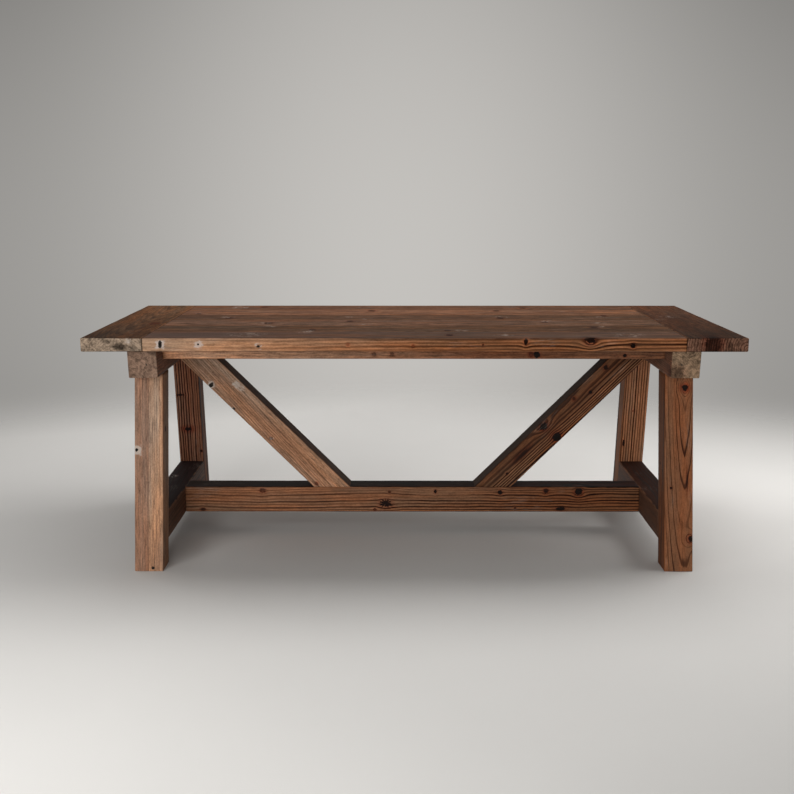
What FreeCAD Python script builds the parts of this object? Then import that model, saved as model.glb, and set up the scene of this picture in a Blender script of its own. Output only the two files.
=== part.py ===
import FreeCAD, Part
import os

import Sketcher

# Sawbuck (trestle) dining table: a plank top with breadboard ends on two splayed
# trestles, which a low stretcher and two diagonal braces tie together.
#
# Frame: +X along the table, +Y towards its back, +Z up. The origin lies on the floor
# under the middle of the top. Millimetres and degrees.

document = FreeCAD.newDocument("SawbuckTable")

# --------------------------------------------------------------------- driving sizes

SIZES = {
    # Overall
    "top_length": 2134,
    "top_width": 990,
    "table_height": 787,
    # Boards of the top
    "top_thickness": 44.5,
    "breadboard_width": 196,
    "seam_ease": 0.8,
    "edge_ease": 2.5,
    # Frame timbers, all sawn from one square stock
    "beam_size": 95,
    "end_overhang": 137,
    "head_setback": 43,
    "head_undercut": 13,
    "leg_setback": 134,
    "leg_splay": 10,
    "rail_lift": 80,
    "brace_angle": 45,
    # Aprons under the long edges of the top
    "apron_setback": 139,
    "apron_thickness": 44.5,
    "apron_height": 44.5,
    # Breadboard tongue, its stopped groove and its square pegs
    "tongue_thickness": 15,
    "tongue_length": 35,
    "tongue_stop": 30,
    "peg_size": 10,
    "peg_length": 38,
    "peg_travel": 2,
    # Loose splines between the planks
    "spline_thickness": 6,
    "spline_width": 20,
    "spline_stop": 25,
    # Mortise and tenon joints
    "tenon_thickness": 32,
    "leg_tenon_width": 55,
    "leg_tenon_length": 60,
    "rail_tenon_height": 60,
    "rail_tenon_length": 40,
    "stub_tenon_width": 60,
    "stub_tenon_height": 60,
    "stub_tenon_length": 12,
    "apron_tenon_thickness": 24,
    "apron_tenon_height": 26,
    "apron_tenon_length": 20,
    # Clearances
    "wood_fit": 0.2,
    "tenon_end_gap": 1,
    "pilot_fit": 0.1,
    "hole_fit": 0.5,
    # Hexagon-headed lag screws: M8 into the top, M10 into the braces
    "top_screw_radius": 4,
    "top_screw_flats": 13,
    "top_screw_head": 5.5,
    "top_screw_recess": 9.5,
    "top_screw_grip": 35,
    "top_screw_bite": 32,
    "top_screw_inset": 18,
    "brace_screw_radius": 5,
    "brace_screw_flats": 17,
    "brace_screw_head": 7,
    "brace_screw_recess": 13,
    "brace_screw_sink": 12,
    "brace_screw_bite": 65,
    "foot_screw_inset": 45,
    # M12 bolts that hold the rails to the stretcher, with washers and barrel nuts
    "bolt_radius": 6,
    "bolt_flats": 18,
    "bolt_head": 7.5,
    "bolt_recess": 17,
    "bolt_sink": 16,
    "bolt_past_nut": 14,
    "washer_radius": 15,
    "washer_thickness": 2.5,
    "nut_radius": 9,
    "nut_length": 30,
    "nut_depth": 52,
}

PLANK_NAMES = [
    "plank_front_edge",
    "plank_front_middle",
    "plank_front_inner",
    "plank_back_inner",
    "plank_back_middle",
    "plank_back_edge",
]
SPLINE_NAMES = [
    "spline_front_outer",
    "spline_front_inner",
    "spline_centre",
    "spline_back_inner",
    "spline_back_outer",
]
PLANK_COUNT = len(PLANK_NAMES)
SCREWED_PLANKS = (0, 2, 3, 5)

# ------------------------------------------------- places worked out from the sizes

PLACES = {
    "half_length": "Sizes.top_length / 2",
    "half_width": "Sizes.top_width / 2",
    "plank_width": f"Sizes.top_width / {PLANK_COUNT}",
    "plank_shoulder": "half_length - Sizes.breadboard_width",
    "tongue_end": "plank_shoulder + Sizes.tongue_length",
    "peg_inset": "Sizes.tongue_length / 2",
    "underside": "Sizes.table_height - Sizes.top_thickness",
    "half_beam": "Sizes.beam_size / 2",
    "trestle_outer": "half_length - Sizes.end_overhang",
    "trestle_middle": "trestle_outer - half_beam",
    "trestle_inner": "trestle_outer - Sizes.beam_size",
    "head_bottom": "underside - Sizes.beam_size",
    "head_top_end": "half_width - Sizes.head_setback",
    "head_bottom_end": "head_top_end - Sizes.head_undercut",
    "leg_slope": "tan(Sizes.leg_splay)",
    "leg_depth": "Sizes.beam_size / cos(Sizes.leg_splay)",
    "leg_outer_top": "half_width - Sizes.leg_setback",
    "leg_outer_foot": "leg_outer_top + head_bottom * leg_slope",
    "leg_inner_top": "leg_outer_top - leg_depth",
    "leg_inner_foot": "leg_outer_foot - leg_depth",
    "leg_axis_top": "leg_outer_top - leg_depth / 2",
    "leg_tenon_half": "Sizes.leg_tenon_width / cos(Sizes.leg_splay) / 2",
    "leg_tenon_shift": "Sizes.leg_tenon_length * leg_slope",
    "leg_mortise_depth": "Sizes.leg_tenon_length + Sizes.tenon_end_gap",
    "rail_top": "Sizes.rail_lift + Sizes.beam_size",
    "rail_end_top": "leg_inner_foot - rail_top * leg_slope",
    "rail_end_bottom": "leg_inner_foot - Sizes.rail_lift * leg_slope",
    "rail_tenon_end": "rail_end_bottom + Sizes.rail_tenon_length",
    "brace_foot_outer": "trestle_inner - (head_bottom - rail_top) / tan(Sizes.brace_angle)",
    "brace_foot_inner": "brace_foot_outer - Sizes.beam_size / sin(Sizes.brace_angle)",
    "brace_rise": "Sizes.beam_size / cos(Sizes.brace_angle) - Sizes.beam_size",
    "brace_top_inner": "trestle_inner - brace_rise / tan(Sizes.brace_angle)",
    "foot_screw_place": "brace_foot_outer - Sizes.foot_screw_inset",
    "apron_front": "half_width - Sizes.apron_setback",
    "apron_back": "apron_front - Sizes.apron_thickness",
    "apron_bottom": "underside - Sizes.apron_height",
    "apron_middle": "apron_front - Sizes.apron_thickness / 2",
    "top_screw_place": "trestle_inner + Sizes.top_screw_inset",
    "top_screw_length": "Sizes.top_screw_grip + Sizes.top_screw_bite",
    "top_screw_sink": "Sizes.beam_size - Sizes.top_screw_grip",
    "brace_screw_grip": "Sizes.beam_size - Sizes.brace_screw_sink",
    "brace_screw_length": "brace_screw_grip + Sizes.brace_screw_bite",
    "bolt_seat": "half_beam - Sizes.bolt_sink + Sizes.washer_thickness",
    "nut_place": "trestle_inner - Sizes.nut_depth",
    "bolt_length": "bolt_seat + half_beam + Sizes.nut_depth + Sizes.bolt_past_nut",
}


def fill_sheet(name, cells):
    """A spreadsheet with one aliased cell a row."""
    sheet = document.addObject("Spreadsheet::Sheet", name)
    for row, (alias, content) in enumerate(cells.items(), start=1):
        sheet.set(f"A{row}", alias)
        sheet.set(f"B{row}", content)
        sheet.setAlias(f"B{row}", alias)
    document.recompute()
    return sheet


fill_sheet("Sizes", {alias: str(value) for alias, value in SIZES.items()})
places = fill_sheet("Places", {alias: f"={formula}" for alias, formula in PLACES.items()})

Z_AXIS = FreeCAD.Vector(0, 0, 1)
Y_AXIS = FreeCAD.Vector(0, 1, 0)
X_AXIS = FreeCAD.Vector(1, 0, 0)
HALF_TURN = 180
QUARTER_TURN = 90

nodes = []

# ---------------------------------------------------------------------- sketch tools


def negative(formula):
    """The formula with its sign changed."""
    return f"-({formula})"


def number(formula):
    """What a formula comes to now."""
    result = places.evalExpression(formula)
    return float(getattr(result, "Value", result))


def new_sketch(body, name, plane_role, offset=None):
    """A sketch on one of the body's own origin planes, or parallel to it at an offset."""
    sketch = body.newObject("Sketcher::SketchObject", name)
    plane = next(item for item in body.Origin.OriginFeatures if item.Role == plane_role)
    sketch.AttachmentSupport = [(plane, "")]
    sketch.MapMode = "FlatFace"
    if offset is not None:
        sketch.setExpression("AttachmentOffset.Base.z", offset)
    return sketch


def bind_point(sketch, geometry, point, corner):
    """Holds one point of a sketch at a pair of formulas."""
    for kind, formula in zip(("DistanceX", "DistanceY"), corner):
        rule = Sketcher.Constraint(kind, geometry, point, number(formula))
        index = sketch.addConstraint(rule)
        sketch.setExpression(f"Constraints[{index}]", formula)


def outline(sketch, corners):
    """A closed outline of straight lines through corners, each a pair of formulas."""
    points = [FreeCAD.Vector(number(x), number(y), 0) for x, y in corners]
    first = sketch.GeometryCount
    count = len(points)
    for index in range(count):
        line = Part.LineSegment(points[index], points[(index + 1) % count])
        sketch.addGeometry(line, False)
    for index in range(count):
        following = first + (index + 1) % count
        sketch.addConstraint(Sketcher.Constraint("Coincident", first + index, 2, following, 1))
    for index, corner in enumerate(corners):
        bind_point(sketch, first + index, 1, corner)


def rectangle(sketch, low, high):
    """An upright rectangle between two opposite corners, each a pair of formulas."""
    outline(sketch, [low, (high[0], low[1]), high, (low[0], high[1])])


def circle(sketch, centre, radius):
    """A circle about a pair of formulas, with its radius a third."""
    middle = FreeCAD.Vector(number(centre[0]), number(centre[1]), 0)
    index = sketch.addGeometry(Part.Circle(middle, Z_AXIS, number(radius)), False)
    bind_point(sketch, index, 3, centre)
    rule = sketch.addConstraint(Sketcher.Constraint("Radius", index, number(radius)))
    sketch.setExpression(f"Constraints[{rule}]", radius)


def hexagon(sketch, flats):
    """A regular hexagon about the sketch's origin, from its size across flats."""
    corners = []
    for index in range(6):
        turn = 60 * index
        reach = f"({flats}) / 2 / cos(30)"
        corners.append((f"{reach} * cos({turn})", f"{reach} * sin({turn})"))
    outline(sketch, corners)


# --------------------------------------------------------------------- feature tools


def new_body(label, listed=True):
    """A body under its own label. A listed one is a node by itself."""
    body = document.addObject("PartDesign::Body", label)
    body.Label = label
    if listed:
        nodes.append(body)
    return body


def pad(body, sketch, length, both_ways=True):
    """Raises a sketch, to both sides of its plane or only along its normal."""
    feature = body.newObject("PartDesign::Pad", "Pad")
    feature.Profile = sketch
    feature.Midplane = both_ways
    feature.setExpression("Length", length)
    document.recompute()
    return feature


def pocket(body, sketch, length=None, both_ways=False, along_normal=False):
    """Cuts a sketch out of the body, right through it where no length is given."""
    volume = body.Shape.Volume
    feature = body.newObject("PartDesign::Pocket", "Pocket")
    feature.Profile = sketch
    feature.Midplane = both_ways or length is None
    feature.Reversed = along_normal
    if length is None:
        feature.Type = "ThroughAll"
    else:
        feature.setExpression("Length", length)
    document.recompute()
    if not body.Shape.Volume < volume:
        raise RuntimeError(f"{body.Label}: {sketch.Name} cuts nothing")
    return feature


def ease(body, size, chosen):
    """Chamfers the edges of the body's last feature that the test picks."""
    feature = body.Tip
    names = [f"Edge{i}" for i, edge in enumerate(feature.Shape.Edges, start=1) if chosen(edge)]
    chamfer = body.newObject("PartDesign::Chamfer", "Chamfer")
    chamfer.Base = (feature, names)
    chamfer.setExpression("Size", size)
    document.recompute()
    return chamfer


def runs_along(direction):
    """A test for edges parallel to a direction."""
    unit = FreeCAD.Vector(direction).normalize()

    def test(edge):
        span = edge.Vertexes[-1].Point - edge.Vertexes[0].Point
        return abs(span.normalize().dot(unit)) > 0.9999

    return test


def place(item, x="0 mm", y="0 mm", z="0 mm", axis=Z_AXIS, angle=0):
    """Turns an object about an axis through its origin, and binds where it stands."""
    item.Placement = FreeCAD.Placement(FreeCAD.Vector(), FreeCAD.Rotation(axis, angle))
    for name, formula in zip("xyz", (x, y, z)):
        item.setExpression(f"Placement.Base.{name}", formula)


def group(label, members):
    """Identical fasteners, kept as separate solids in one node."""
    item = document.addObject("Part::Compound", label)
    item.Label = label
    item.Links = members
    nodes.append(item)
    return item


# ------------------------------------------------------------------------- the top

SIDES = {"left": -1, "right": 1}


def plank_centre(index):
    """Formula for a plank's centre line, counted from the front."""
    return f"({index} - {(PLANK_COUNT - 1) / 2}) * Places.plank_width"


def plank_edge_corners(side, has_spline):
    """Corners of one long edge of a plank's section, from the underside up."""
    low_ease = "0" if has_spline else "Sizes.edge_ease"
    high_ease = "Sizes.seam_ease" if has_spline else "Sizes.edge_ease"
    edge = f"{side} * Places.plank_width / 2"
    corners = [(f"{edge} - {side} * {low_ease}", "0")]
    if not has_spline:
        corners.append((edge, low_ease))
    if has_spline:
        depth = f"{edge} - {side} * (Sizes.spline_width / 2 + Sizes.wood_fit)"
        half = "(Sizes.spline_thickness / 2 + Sizes.wood_fit)"
        groove_low = f"Sizes.top_thickness / 2 - {half}"
        groove_high = f"Sizes.top_thickness / 2 + {half}"
        corners.append((edge, groove_low))
        corners.append((depth, groove_low))
        corners.append((depth, groove_high))
        corners.append((edge, groove_high))
    corners.append((edge, f"Sizes.top_thickness - {high_ease}"))
    corners.append((f"{edge} - {side} * {high_ease}", "Sizes.top_thickness"))
    return corners


def peg_hole(sketch, middle, travel):
    """A hole for a square peg, longer along the sketch's Y by the peg's travel."""
    half = "(Sizes.peg_size / 2 + Sizes.pilot_fit)"
    half_long = f"({half} + ({travel}) / 2)"
    low = (f"{middle[0]} - {half}", f"{middle[1]} - {half_long}")
    high = (f"{middle[0]} + {half}", f"{middle[1]} + {half_long}")
    rectangle(sketch, low, high)


def make_plank(index, label):
    """A lengthwise plank: grooved for its splines, with a slotted tongue at each end."""
    body = new_body(label)
    first = index == 0
    last = index == PLANK_COUNT - 1

    section = new_sketch(body, "Section", "YZ_Plane")
    front_edge = plank_edge_corners(-1, has_spline=not first)
    back_edge = plank_edge_corners(1, has_spline=not last)
    outline(section, back_edge + front_edge[::-1])
    pad(body, section, "2 * Places.tongue_end")

    cheeks = new_sketch(body, "TongueCheeks", "XZ_Plane")
    over = "(Places.tongue_end + 1)"
    tongue_low = "(Sizes.top_thickness - Sizes.tongue_thickness) / 2"
    tongue_high = "(Sizes.top_thickness + Sizes.tongue_thickness) / 2"
    for side in SIDES.values():
        shoulder = f"{side} * Places.plank_shoulder"
        beyond = f"{side} * {over}"
        rectangle(cheeks, (shoulder, "-1"), (beyond, tongue_low))
        rectangle(cheeks, (shoulder, tongue_high), (beyond, "Sizes.top_thickness + 1"))
    pocket(body, cheeks)

    if first or last:
        stops = new_sketch(body, "TongueStops", "XY_Plane")
        outward = -1 if first else 1
        inner = f"{outward} * (Places.plank_width / 2 - Sizes.tongue_stop)"
        outer = f"{outward} * (Places.plank_width / 2 + 1)"
        for side in SIDES.values():
            shoulder = f"{side} * Places.plank_shoulder"
            rectangle(stops, (shoulder, inner), (f"{side} * {over}", outer))
        pocket(body, stops)

    # The inner planks are pegged tight. Further out the hole is longer, along the
    # breadboard, and lets the top shrink and swell.
    peg_holes = new_sketch(body, "PegHoles", "XY_Plane")
    steps_out = int(abs(index - (PLANK_COUNT - 1) / 2))
    for side in SIDES.values():
        middle = (f"{side} * (Places.plank_shoulder + Places.peg_inset)", "0")
        peg_hole(peg_holes, middle, f"{steps_out} * Sizes.peg_travel")
    pocket(body, peg_holes)

    if index in SCREWED_PLANKS:
        pilots = new_sketch(body, "ScrewPilots", "XY_Plane")
        for side in SIDES.values():
            centre = (f"{side} * Places.top_screw_place", "0")
            circle(pilots, centre, "Sizes.top_screw_radius + Sizes.pilot_fit")
        pilot_depth = "Sizes.top_screw_bite + Sizes.tenon_end_gap"
        pocket(body, pilots, pilot_depth, along_normal=True)

    place(body, y=plank_centre(index), z="Places.underside")


def make_spline(index, label):
    """A loose spline in the facing grooves of two planks."""
    spline = document.addObject("Part::Box", label)
    spline.Label = label
    spline.setExpression("Length", "2 * (Places.plank_shoulder - Sizes.spline_stop)")
    spline.setExpression("Width", "Sizes.spline_width")
    spline.setExpression("Height", "Sizes.spline_thickness")
    seam = f"({index + 1} - {PLANK_COUNT / 2}) * Places.plank_width"
    place(
        spline,
        x="Sizes.spline_stop - Places.plank_shoulder",
        y=f"{seam} - Sizes.spline_width / 2",
        z="Places.underside + (Sizes.top_thickness - Sizes.spline_thickness) / 2",
    )
    nodes.append(spline)


def make_breadboard(label, angle):
    """A cross board with a stopped groove, which caps the planks' ends and hides them."""
    body = new_body(label)
    face = new_sketch(body, "Face", "XY_Plane")
    rectangle(face, ("0", "-Places.half_width"), ("Sizes.breadboard_width", "Places.half_width"))
    pad(body, face, "Sizes.top_thickness", both_ways=False)

    def is_outer(edge):
        middle = edge.BoundBox.Center
        return middle.x > 1 and edge.BoundBox.ZLength < 1

    def is_inner_top(edge):
        middle = edge.BoundBox.Center
        return abs(middle.x) < 0.01 and middle.z > number("Sizes.top_thickness") - 0.01

    ease(body, "Sizes.edge_ease", is_outer)
    ease(body, "Sizes.seam_ease", is_inner_top)

    groove = new_sketch(body, "Groove", "XY_Plane", "Sizes.top_thickness / 2")
    reach = "Places.half_width - Sizes.tongue_stop + Sizes.wood_fit"
    depth = "Sizes.tongue_length + Sizes.tenon_end_gap"
    rectangle(groove, ("-1", negative(reach)), (depth, reach))
    pocket(body, groove, "Sizes.tongue_thickness + 2 * Sizes.wood_fit", both_ways=True)

    peg_holes = new_sketch(body, "PegHoles", "XY_Plane")
    for index in range(PLANK_COUNT):
        peg_hole(peg_holes, ("Places.peg_inset", plank_centre(index)), "0")
    pocket(body, peg_holes, "Sizes.peg_length + Sizes.pilot_fit", along_normal=True)

    side = -1 if angle else 1
    place(body, x=f"{side} * Places.plank_shoulder", z="Places.underside", angle=angle)


def make_pegs(label, side):
    """The square pegs that hold a breadboard on the planks' tongues, driven from below."""
    pegs = []
    for index in range(PLANK_COUNT):
        peg = document.addObject("Part::Box", f"{label}_{index + 1}")
        peg.setExpression("Length", "Sizes.peg_size")
        peg.setExpression("Width", "Sizes.peg_size")
        peg.setExpression("Height", "Sizes.peg_length")
        place(
            peg,
            x=f"{side} * (Places.plank_shoulder + Places.peg_inset) - Sizes.peg_size / 2",
            y=f"{plank_centre(index)} - Sizes.peg_size / 2",
            z="Places.underside",
        )
        pegs.append(peg)
    group(label, pegs)


# --------------------------------------------------------------------- the trestles


def make_head(label, angle):
    """The beam across a trestle under the top. Its ends are undercut. +X faces outward."""
    body = new_body(label)
    side_view = new_sketch(body, "SideView", "YZ_Plane")
    outline(
        side_view,
        [
            ("-Places.head_bottom_end", "0"),
            ("Places.head_bottom_end", "0"),
            ("Places.head_top_end", "Sizes.beam_size"),
            ("-Places.head_top_end", "Sizes.beam_size"),
        ],
    )
    pad(body, side_view, "Sizes.beam_size")
    ease(body, "Sizes.edge_ease", runs_along(Y_AXIS))

    # Blind mortises, cut at the legs' own slope.
    mortises = new_sketch(body, "LegMortises", "YZ_Plane")
    half = "(Places.leg_tenon_half + Sizes.wood_fit)"
    top_axis = "(Places.leg_axis_top - Places.leg_mortise_depth * Places.leg_slope)"
    low_axis = "(Places.leg_axis_top + Places.leg_slope)"
    for side in SIDES.values():
        outline(
            mortises,
            [
                (f"{side} * ({low_axis} - {half})", "-1"),
                (f"{side} * ({low_axis} + {half})", "-1"),
                (f"{side} * ({top_axis} + {half})", "Places.leg_mortise_depth"),
                (f"{side} * ({top_axis} - {half})", "Places.leg_mortise_depth"),
            ],
        )
    pocket(body, mortises, "Sizes.tenon_thickness + 2 * Sizes.wood_fit", both_ways=True)

    recesses = new_sketch(body, "TopScrewRecesses", "XY_Plane")
    shanks = new_sketch(body, "TopScrewHoles", "XY_Plane")
    for index in SCREWED_PLANKS:
        centre = ("Sizes.top_screw_inset - Places.half_beam", plank_centre(index))
        circle(recesses, centre, "Sizes.top_screw_recess")
        circle(shanks, centre, "Sizes.top_screw_radius + Sizes.hole_fit")
    pocket(body, recesses, "Places.top_screw_sink", along_normal=True)
    pocket(body, shanks)

    brace_recess = new_sketch(body, "BraceScrewRecess", "YZ_Plane", "Places.half_beam")
    circle(brace_recess, ("0", "Places.half_beam"), "Sizes.brace_screw_recess")
    pocket(body, brace_recess, "Sizes.brace_screw_sink")
    brace_shank = new_sketch(body, "BraceScrewHole", "YZ_Plane")
    circle(brace_shank, ("0", "Places.half_beam"), "Sizes.brace_screw_radius + Sizes.hole_fit")
    pocket(body, brace_shank)

    apron_mortises = new_sketch(body, "ApronMortises", "YZ_Plane", "-Places.half_beam")
    half_thick = "(Sizes.apron_tenon_thickness / 2 + Sizes.wood_fit)"
    half_high = "(Sizes.apron_tenon_height / 2 + Sizes.wood_fit)"
    level = "(Sizes.beam_size - Sizes.apron_height / 2)"
    for side in SIDES.values():
        middle = f"{side} * Places.apron_middle"
        low = (f"{middle} - {half_thick}", f"{level} - {half_high}")
        high = (f"{middle} + {half_thick}", f"{level} + {half_high}")
        rectangle(apron_mortises, low, high)
    mortise_depth = "Sizes.apron_tenon_length + Sizes.tenon_end_gap"
    pocket(body, apron_mortises, mortise_depth, along_normal=True)

    side = -1 if angle else 1
    place(body, x=f"{side} * Places.trestle_middle", z="Places.head_bottom", angle=angle)


def make_leg(label, side, angle):
    """A splayed leg, cut level at both ends, with a tenon in line with it. -Y is outward."""
    body = new_body(label)
    side_view = new_sketch(body, "SideView", "YZ_Plane")
    outline(
        side_view,
        [
            ("-Places.leg_outer_foot", "0"),
            ("-Places.leg_inner_foot", "0"),
            ("-Places.leg_inner_top", "Places.head_bottom"),
            ("-Places.leg_outer_top", "Places.head_bottom"),
        ],
    )
    pad(body, side_view, "Sizes.beam_size")
    slope = FreeCAD.Vector(0, number("Places.leg_slope"), 1)
    ease(body, "Sizes.edge_ease", runs_along(slope))

    tenon = new_sketch(body, "Tenon", "YZ_Plane")
    tenon_top = "Places.head_bottom + Sizes.leg_tenon_length"
    top_axis = "(Places.leg_axis_top - Places.leg_tenon_shift)"
    outline(
        tenon,
        [
            ("-(Places.leg_axis_top + Places.leg_tenon_half)", "Places.head_bottom"),
            ("-(Places.leg_axis_top - Places.leg_tenon_half)", "Places.head_bottom"),
            (f"-({top_axis} - Places.leg_tenon_half)", tenon_top),
            (f"-({top_axis} + Places.leg_tenon_half)", tenon_top),
        ],
    )
    pad(body, tenon, "Sizes.tenon_thickness")

    mortise = new_sketch(body, "RailMortise", "YZ_Plane")
    middle = "(Sizes.rail_lift + Places.half_beam)"
    half = "(Sizes.rail_tenon_height / 2 + Sizes.wood_fit)"
    deep = "-(Places.rail_tenon_end + Sizes.tenon_end_gap)"
    rectangle(mortise, (deep, f"{middle} - {half}"), ("-Places.rail_end_top", f"{middle} + {half}"))
    pocket(body, mortise, "Sizes.tenon_thickness + 2 * Sizes.wood_fit", both_ways=True)

    place(body, x=f"{side} * Places.trestle_middle", angle=angle)


def make_rail(label, angle):
    """The low rail between a trestle's legs, tenoned into both. +X faces outward."""
    body = new_body(label)
    side_view = new_sketch(body, "SideView", "YZ_Plane")
    outline(
        side_view,
        [
            ("-Places.rail_end_bottom", "0"),
            ("Places.rail_end_bottom", "0"),
            ("Places.rail_end_top", "Sizes.beam_size"),
            ("-Places.rail_end_top", "Sizes.beam_size"),
        ],
    )
    pad(body, side_view, "Sizes.beam_size")
    ease(body, "Sizes.edge_ease", runs_along(Y_AXIS))

    tenons = new_sketch(body, "Tenons", "YZ_Plane")
    low = ("-Places.rail_tenon_end", "Places.half_beam - Sizes.rail_tenon_height / 2")
    high = ("Places.rail_tenon_end", "Places.half_beam + Sizes.rail_tenon_height / 2")
    rectangle(tenons, low, high)
    pad(body, tenons, "Sizes.tenon_thickness")

    recess = new_sketch(body, "BoltRecess", "YZ_Plane", "Places.half_beam")
    circle(recess, ("0", "Places.half_beam"), "Sizes.bolt_recess")
    pocket(body, recess, "Sizes.bolt_sink")
    shank = new_sketch(body, "BoltHole", "YZ_Plane")
    circle(shank, ("0", "Places.half_beam"), "Sizes.bolt_radius + Sizes.hole_fit")
    pocket(body, shank)

    mortise = new_sketch(body, "StretcherMortise", "YZ_Plane", "-Places.half_beam")
    half_wide = "(Sizes.stub_tenon_width / 2 + Sizes.wood_fit)"
    half_high = "(Sizes.stub_tenon_height / 2 + Sizes.wood_fit)"
    low = (negative(half_wide), f"Places.half_beam - {half_high}")
    high = (half_wide, f"Places.half_beam + {half_high}")
    rectangle(mortise, low, high)
    pocket(body, mortise, "Sizes.stub_tenon_length + Sizes.tenon_end_gap", along_normal=True)

    side = -1 if angle else 1
    place(body, x=f"{side} * Places.trestle_middle", z="Sizes.rail_lift", angle=angle)


# ----------------------------------------------- what ties the two trestles together


def make_stretcher(label):
    """The beam between the rails, with a stub tenon, a bolt hole and a nut hole at each end."""
    body = new_body(label)
    section = new_sketch(body, "Section", "YZ_Plane")
    rectangle(section, ("-Places.half_beam", "0"), ("Places.half_beam", "Sizes.beam_size"))
    pad(body, section, "2 * Places.trestle_inner")
    ease(body, "Sizes.edge_ease", runs_along(X_AXIS))

    stubs = new_sketch(body, "StubTenons", "YZ_Plane")
    half_wide = "Sizes.stub_tenon_width / 2"
    half_high = "Sizes.stub_tenon_height / 2"
    low = (negative(half_wide), f"Places.half_beam - {half_high}")
    high = (half_wide, f"Places.half_beam + {half_high}")
    rectangle(stubs, low, high)
    pad(body, stubs, "2 * (Places.trestle_inner + Sizes.stub_tenon_length)")

    hole_end = "Places.nut_place - Sizes.bolt_past_nut - Sizes.tenon_end_gap"
    for name, side in SIDES.items():
        start = f"{side} * (Places.trestle_inner + Sizes.stub_tenon_length)"
        hole = new_sketch(body, f"BoltHole_{name}", "YZ_Plane", start)
        circle(hole, ("0", "Places.half_beam"), "Sizes.bolt_radius + Sizes.hole_fit")
        depth = f"Places.trestle_inner + Sizes.stub_tenon_length - ({hole_end})"
        pocket(body, hole, depth, along_normal=side < 0)

    nut_holes = new_sketch(body, "NutHoles", "XY_Plane")
    recesses = new_sketch(body, "FootScrewRecesses", "XY_Plane")
    shanks = new_sketch(body, "FootScrewHoles", "XY_Plane")
    for side in SIDES.values():
        circle(nut_holes, (f"{side} * Places.nut_place", "0"), "Sizes.nut_radius + Sizes.pilot_fit")
        screw = (f"{side} * Places.foot_screw_place", "0")
        circle(recesses, screw, "Sizes.brace_screw_recess")
        circle(shanks, screw, "Sizes.brace_screw_radius + Sizes.hole_fit")
    pocket(body, nut_holes, "Places.half_beam + Sizes.nut_length / 2", along_normal=True)
    pocket(body, recesses, "Sizes.brace_screw_sink", along_normal=True)
    pocket(body, shanks)

    place(body, z="Sizes.rail_lift")


def make_brace(label, angle):
    """A diagonal brace: level on the stretcher, plumb on the head and level under the top."""
    body = new_body(label)
    front_view = new_sketch(body, "FrontView", "XZ_Plane")
    outline(
        front_view,
        [
            ("Places.brace_foot_inner", "Places.rail_top"),
            ("Places.brace_foot_outer", "Places.rail_top"),
            ("Places.trestle_inner", "Places.head_bottom"),
            ("Places.trestle_inner", "Places.underside"),
            ("Places.brace_top_inner", "Places.underside"),
        ],
    )
    pad(body, front_view, "Sizes.beam_size")
    rise = FreeCAD.Vector(1, 0, number("tan(Sizes.brace_angle)"))
    ease(body, "Sizes.edge_ease", runs_along(rise))

    pilot = "Sizes.brace_screw_radius + Sizes.pilot_fit"
    bite = "Sizes.brace_screw_bite + Sizes.tenon_end_gap"
    foot_pilot = new_sketch(body, "FootPilot", "XY_Plane", "Places.rail_top")
    circle(foot_pilot, ("Places.foot_screw_place", "0"), pilot)
    pocket(body, foot_pilot, bite, along_normal=True)
    head_pilot = new_sketch(body, "HeadPilot", "YZ_Plane", "Places.trestle_inner")
    circle(head_pilot, ("0", "Places.head_bottom + Places.half_beam"), pilot)
    pocket(body, head_pilot, bite)

    place(body, angle=angle)


def make_apron(label, angle):
    """A rail under a long edge of the top, stub-tenoned into both heads. -Y is outward."""
    body = new_body(label)
    section = new_sketch(body, "Section", "YZ_Plane")
    rectangle(section, ("-Places.apron_front", "0"), ("-Places.apron_back", "Sizes.apron_height"))
    pad(body, section, "2 * Places.trestle_inner")

    def is_low_arris(edge):
        return runs_along(X_AXIS)(edge) and edge.BoundBox.Center.z < 0.01

    ease(body, "Sizes.edge_ease", is_low_arris)

    tenons = new_sketch(body, "Tenons", "YZ_Plane")
    half_thick = "Sizes.apron_tenon_thickness / 2"
    half_high = "Sizes.apron_tenon_height / 2"
    low = (f"-Places.apron_middle - {half_thick}", f"Sizes.apron_height / 2 - {half_high}")
    high = (f"-Places.apron_middle + {half_thick}", f"Sizes.apron_height / 2 + {half_high}")
    rectangle(tenons, low, high)
    pad(body, tenons, "2 * (Places.trestle_inner + Sizes.apron_tenon_length)")

    place(body, z="Places.apron_bottom", angle=angle)


# ------------------------------------------------------------------------ fasteners


def make_hex_fastener(name, kind, length):
    """A hexagon-headed bolt or lag screw that points up +Z, with its seat at z = 0."""
    body = new_body(name, listed=False)
    head = new_sketch(body, "Head", "XY_Plane", f"-Sizes.{kind}_head")
    hexagon(head, f"Sizes.{kind}_flats")
    pad(body, head, f"Sizes.{kind}_head", both_ways=False)
    shank = new_sketch(body, "Shank", "XY_Plane")
    circle(shank, ("0", "0"), f"Sizes.{kind}_radius")
    pad(body, shank, length, both_ways=False)
    return body


def make_top_screws(label):
    """The lag screws up through both heads into the planks."""
    screws = []
    for end, side in SIDES.items():
        for index in SCREWED_PLANKS:
            name = f"top_screw_{end}_{index + 1}"
            screw = make_hex_fastener(name, "top_screw", "Places.top_screw_length")
            place(
                screw,
                x=f"{side} * Places.top_screw_place",
                y=plank_centre(index),
                z="Places.head_bottom + Places.top_screw_sink",
            )
            screws.append(screw)
    group(label, screws)


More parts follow.
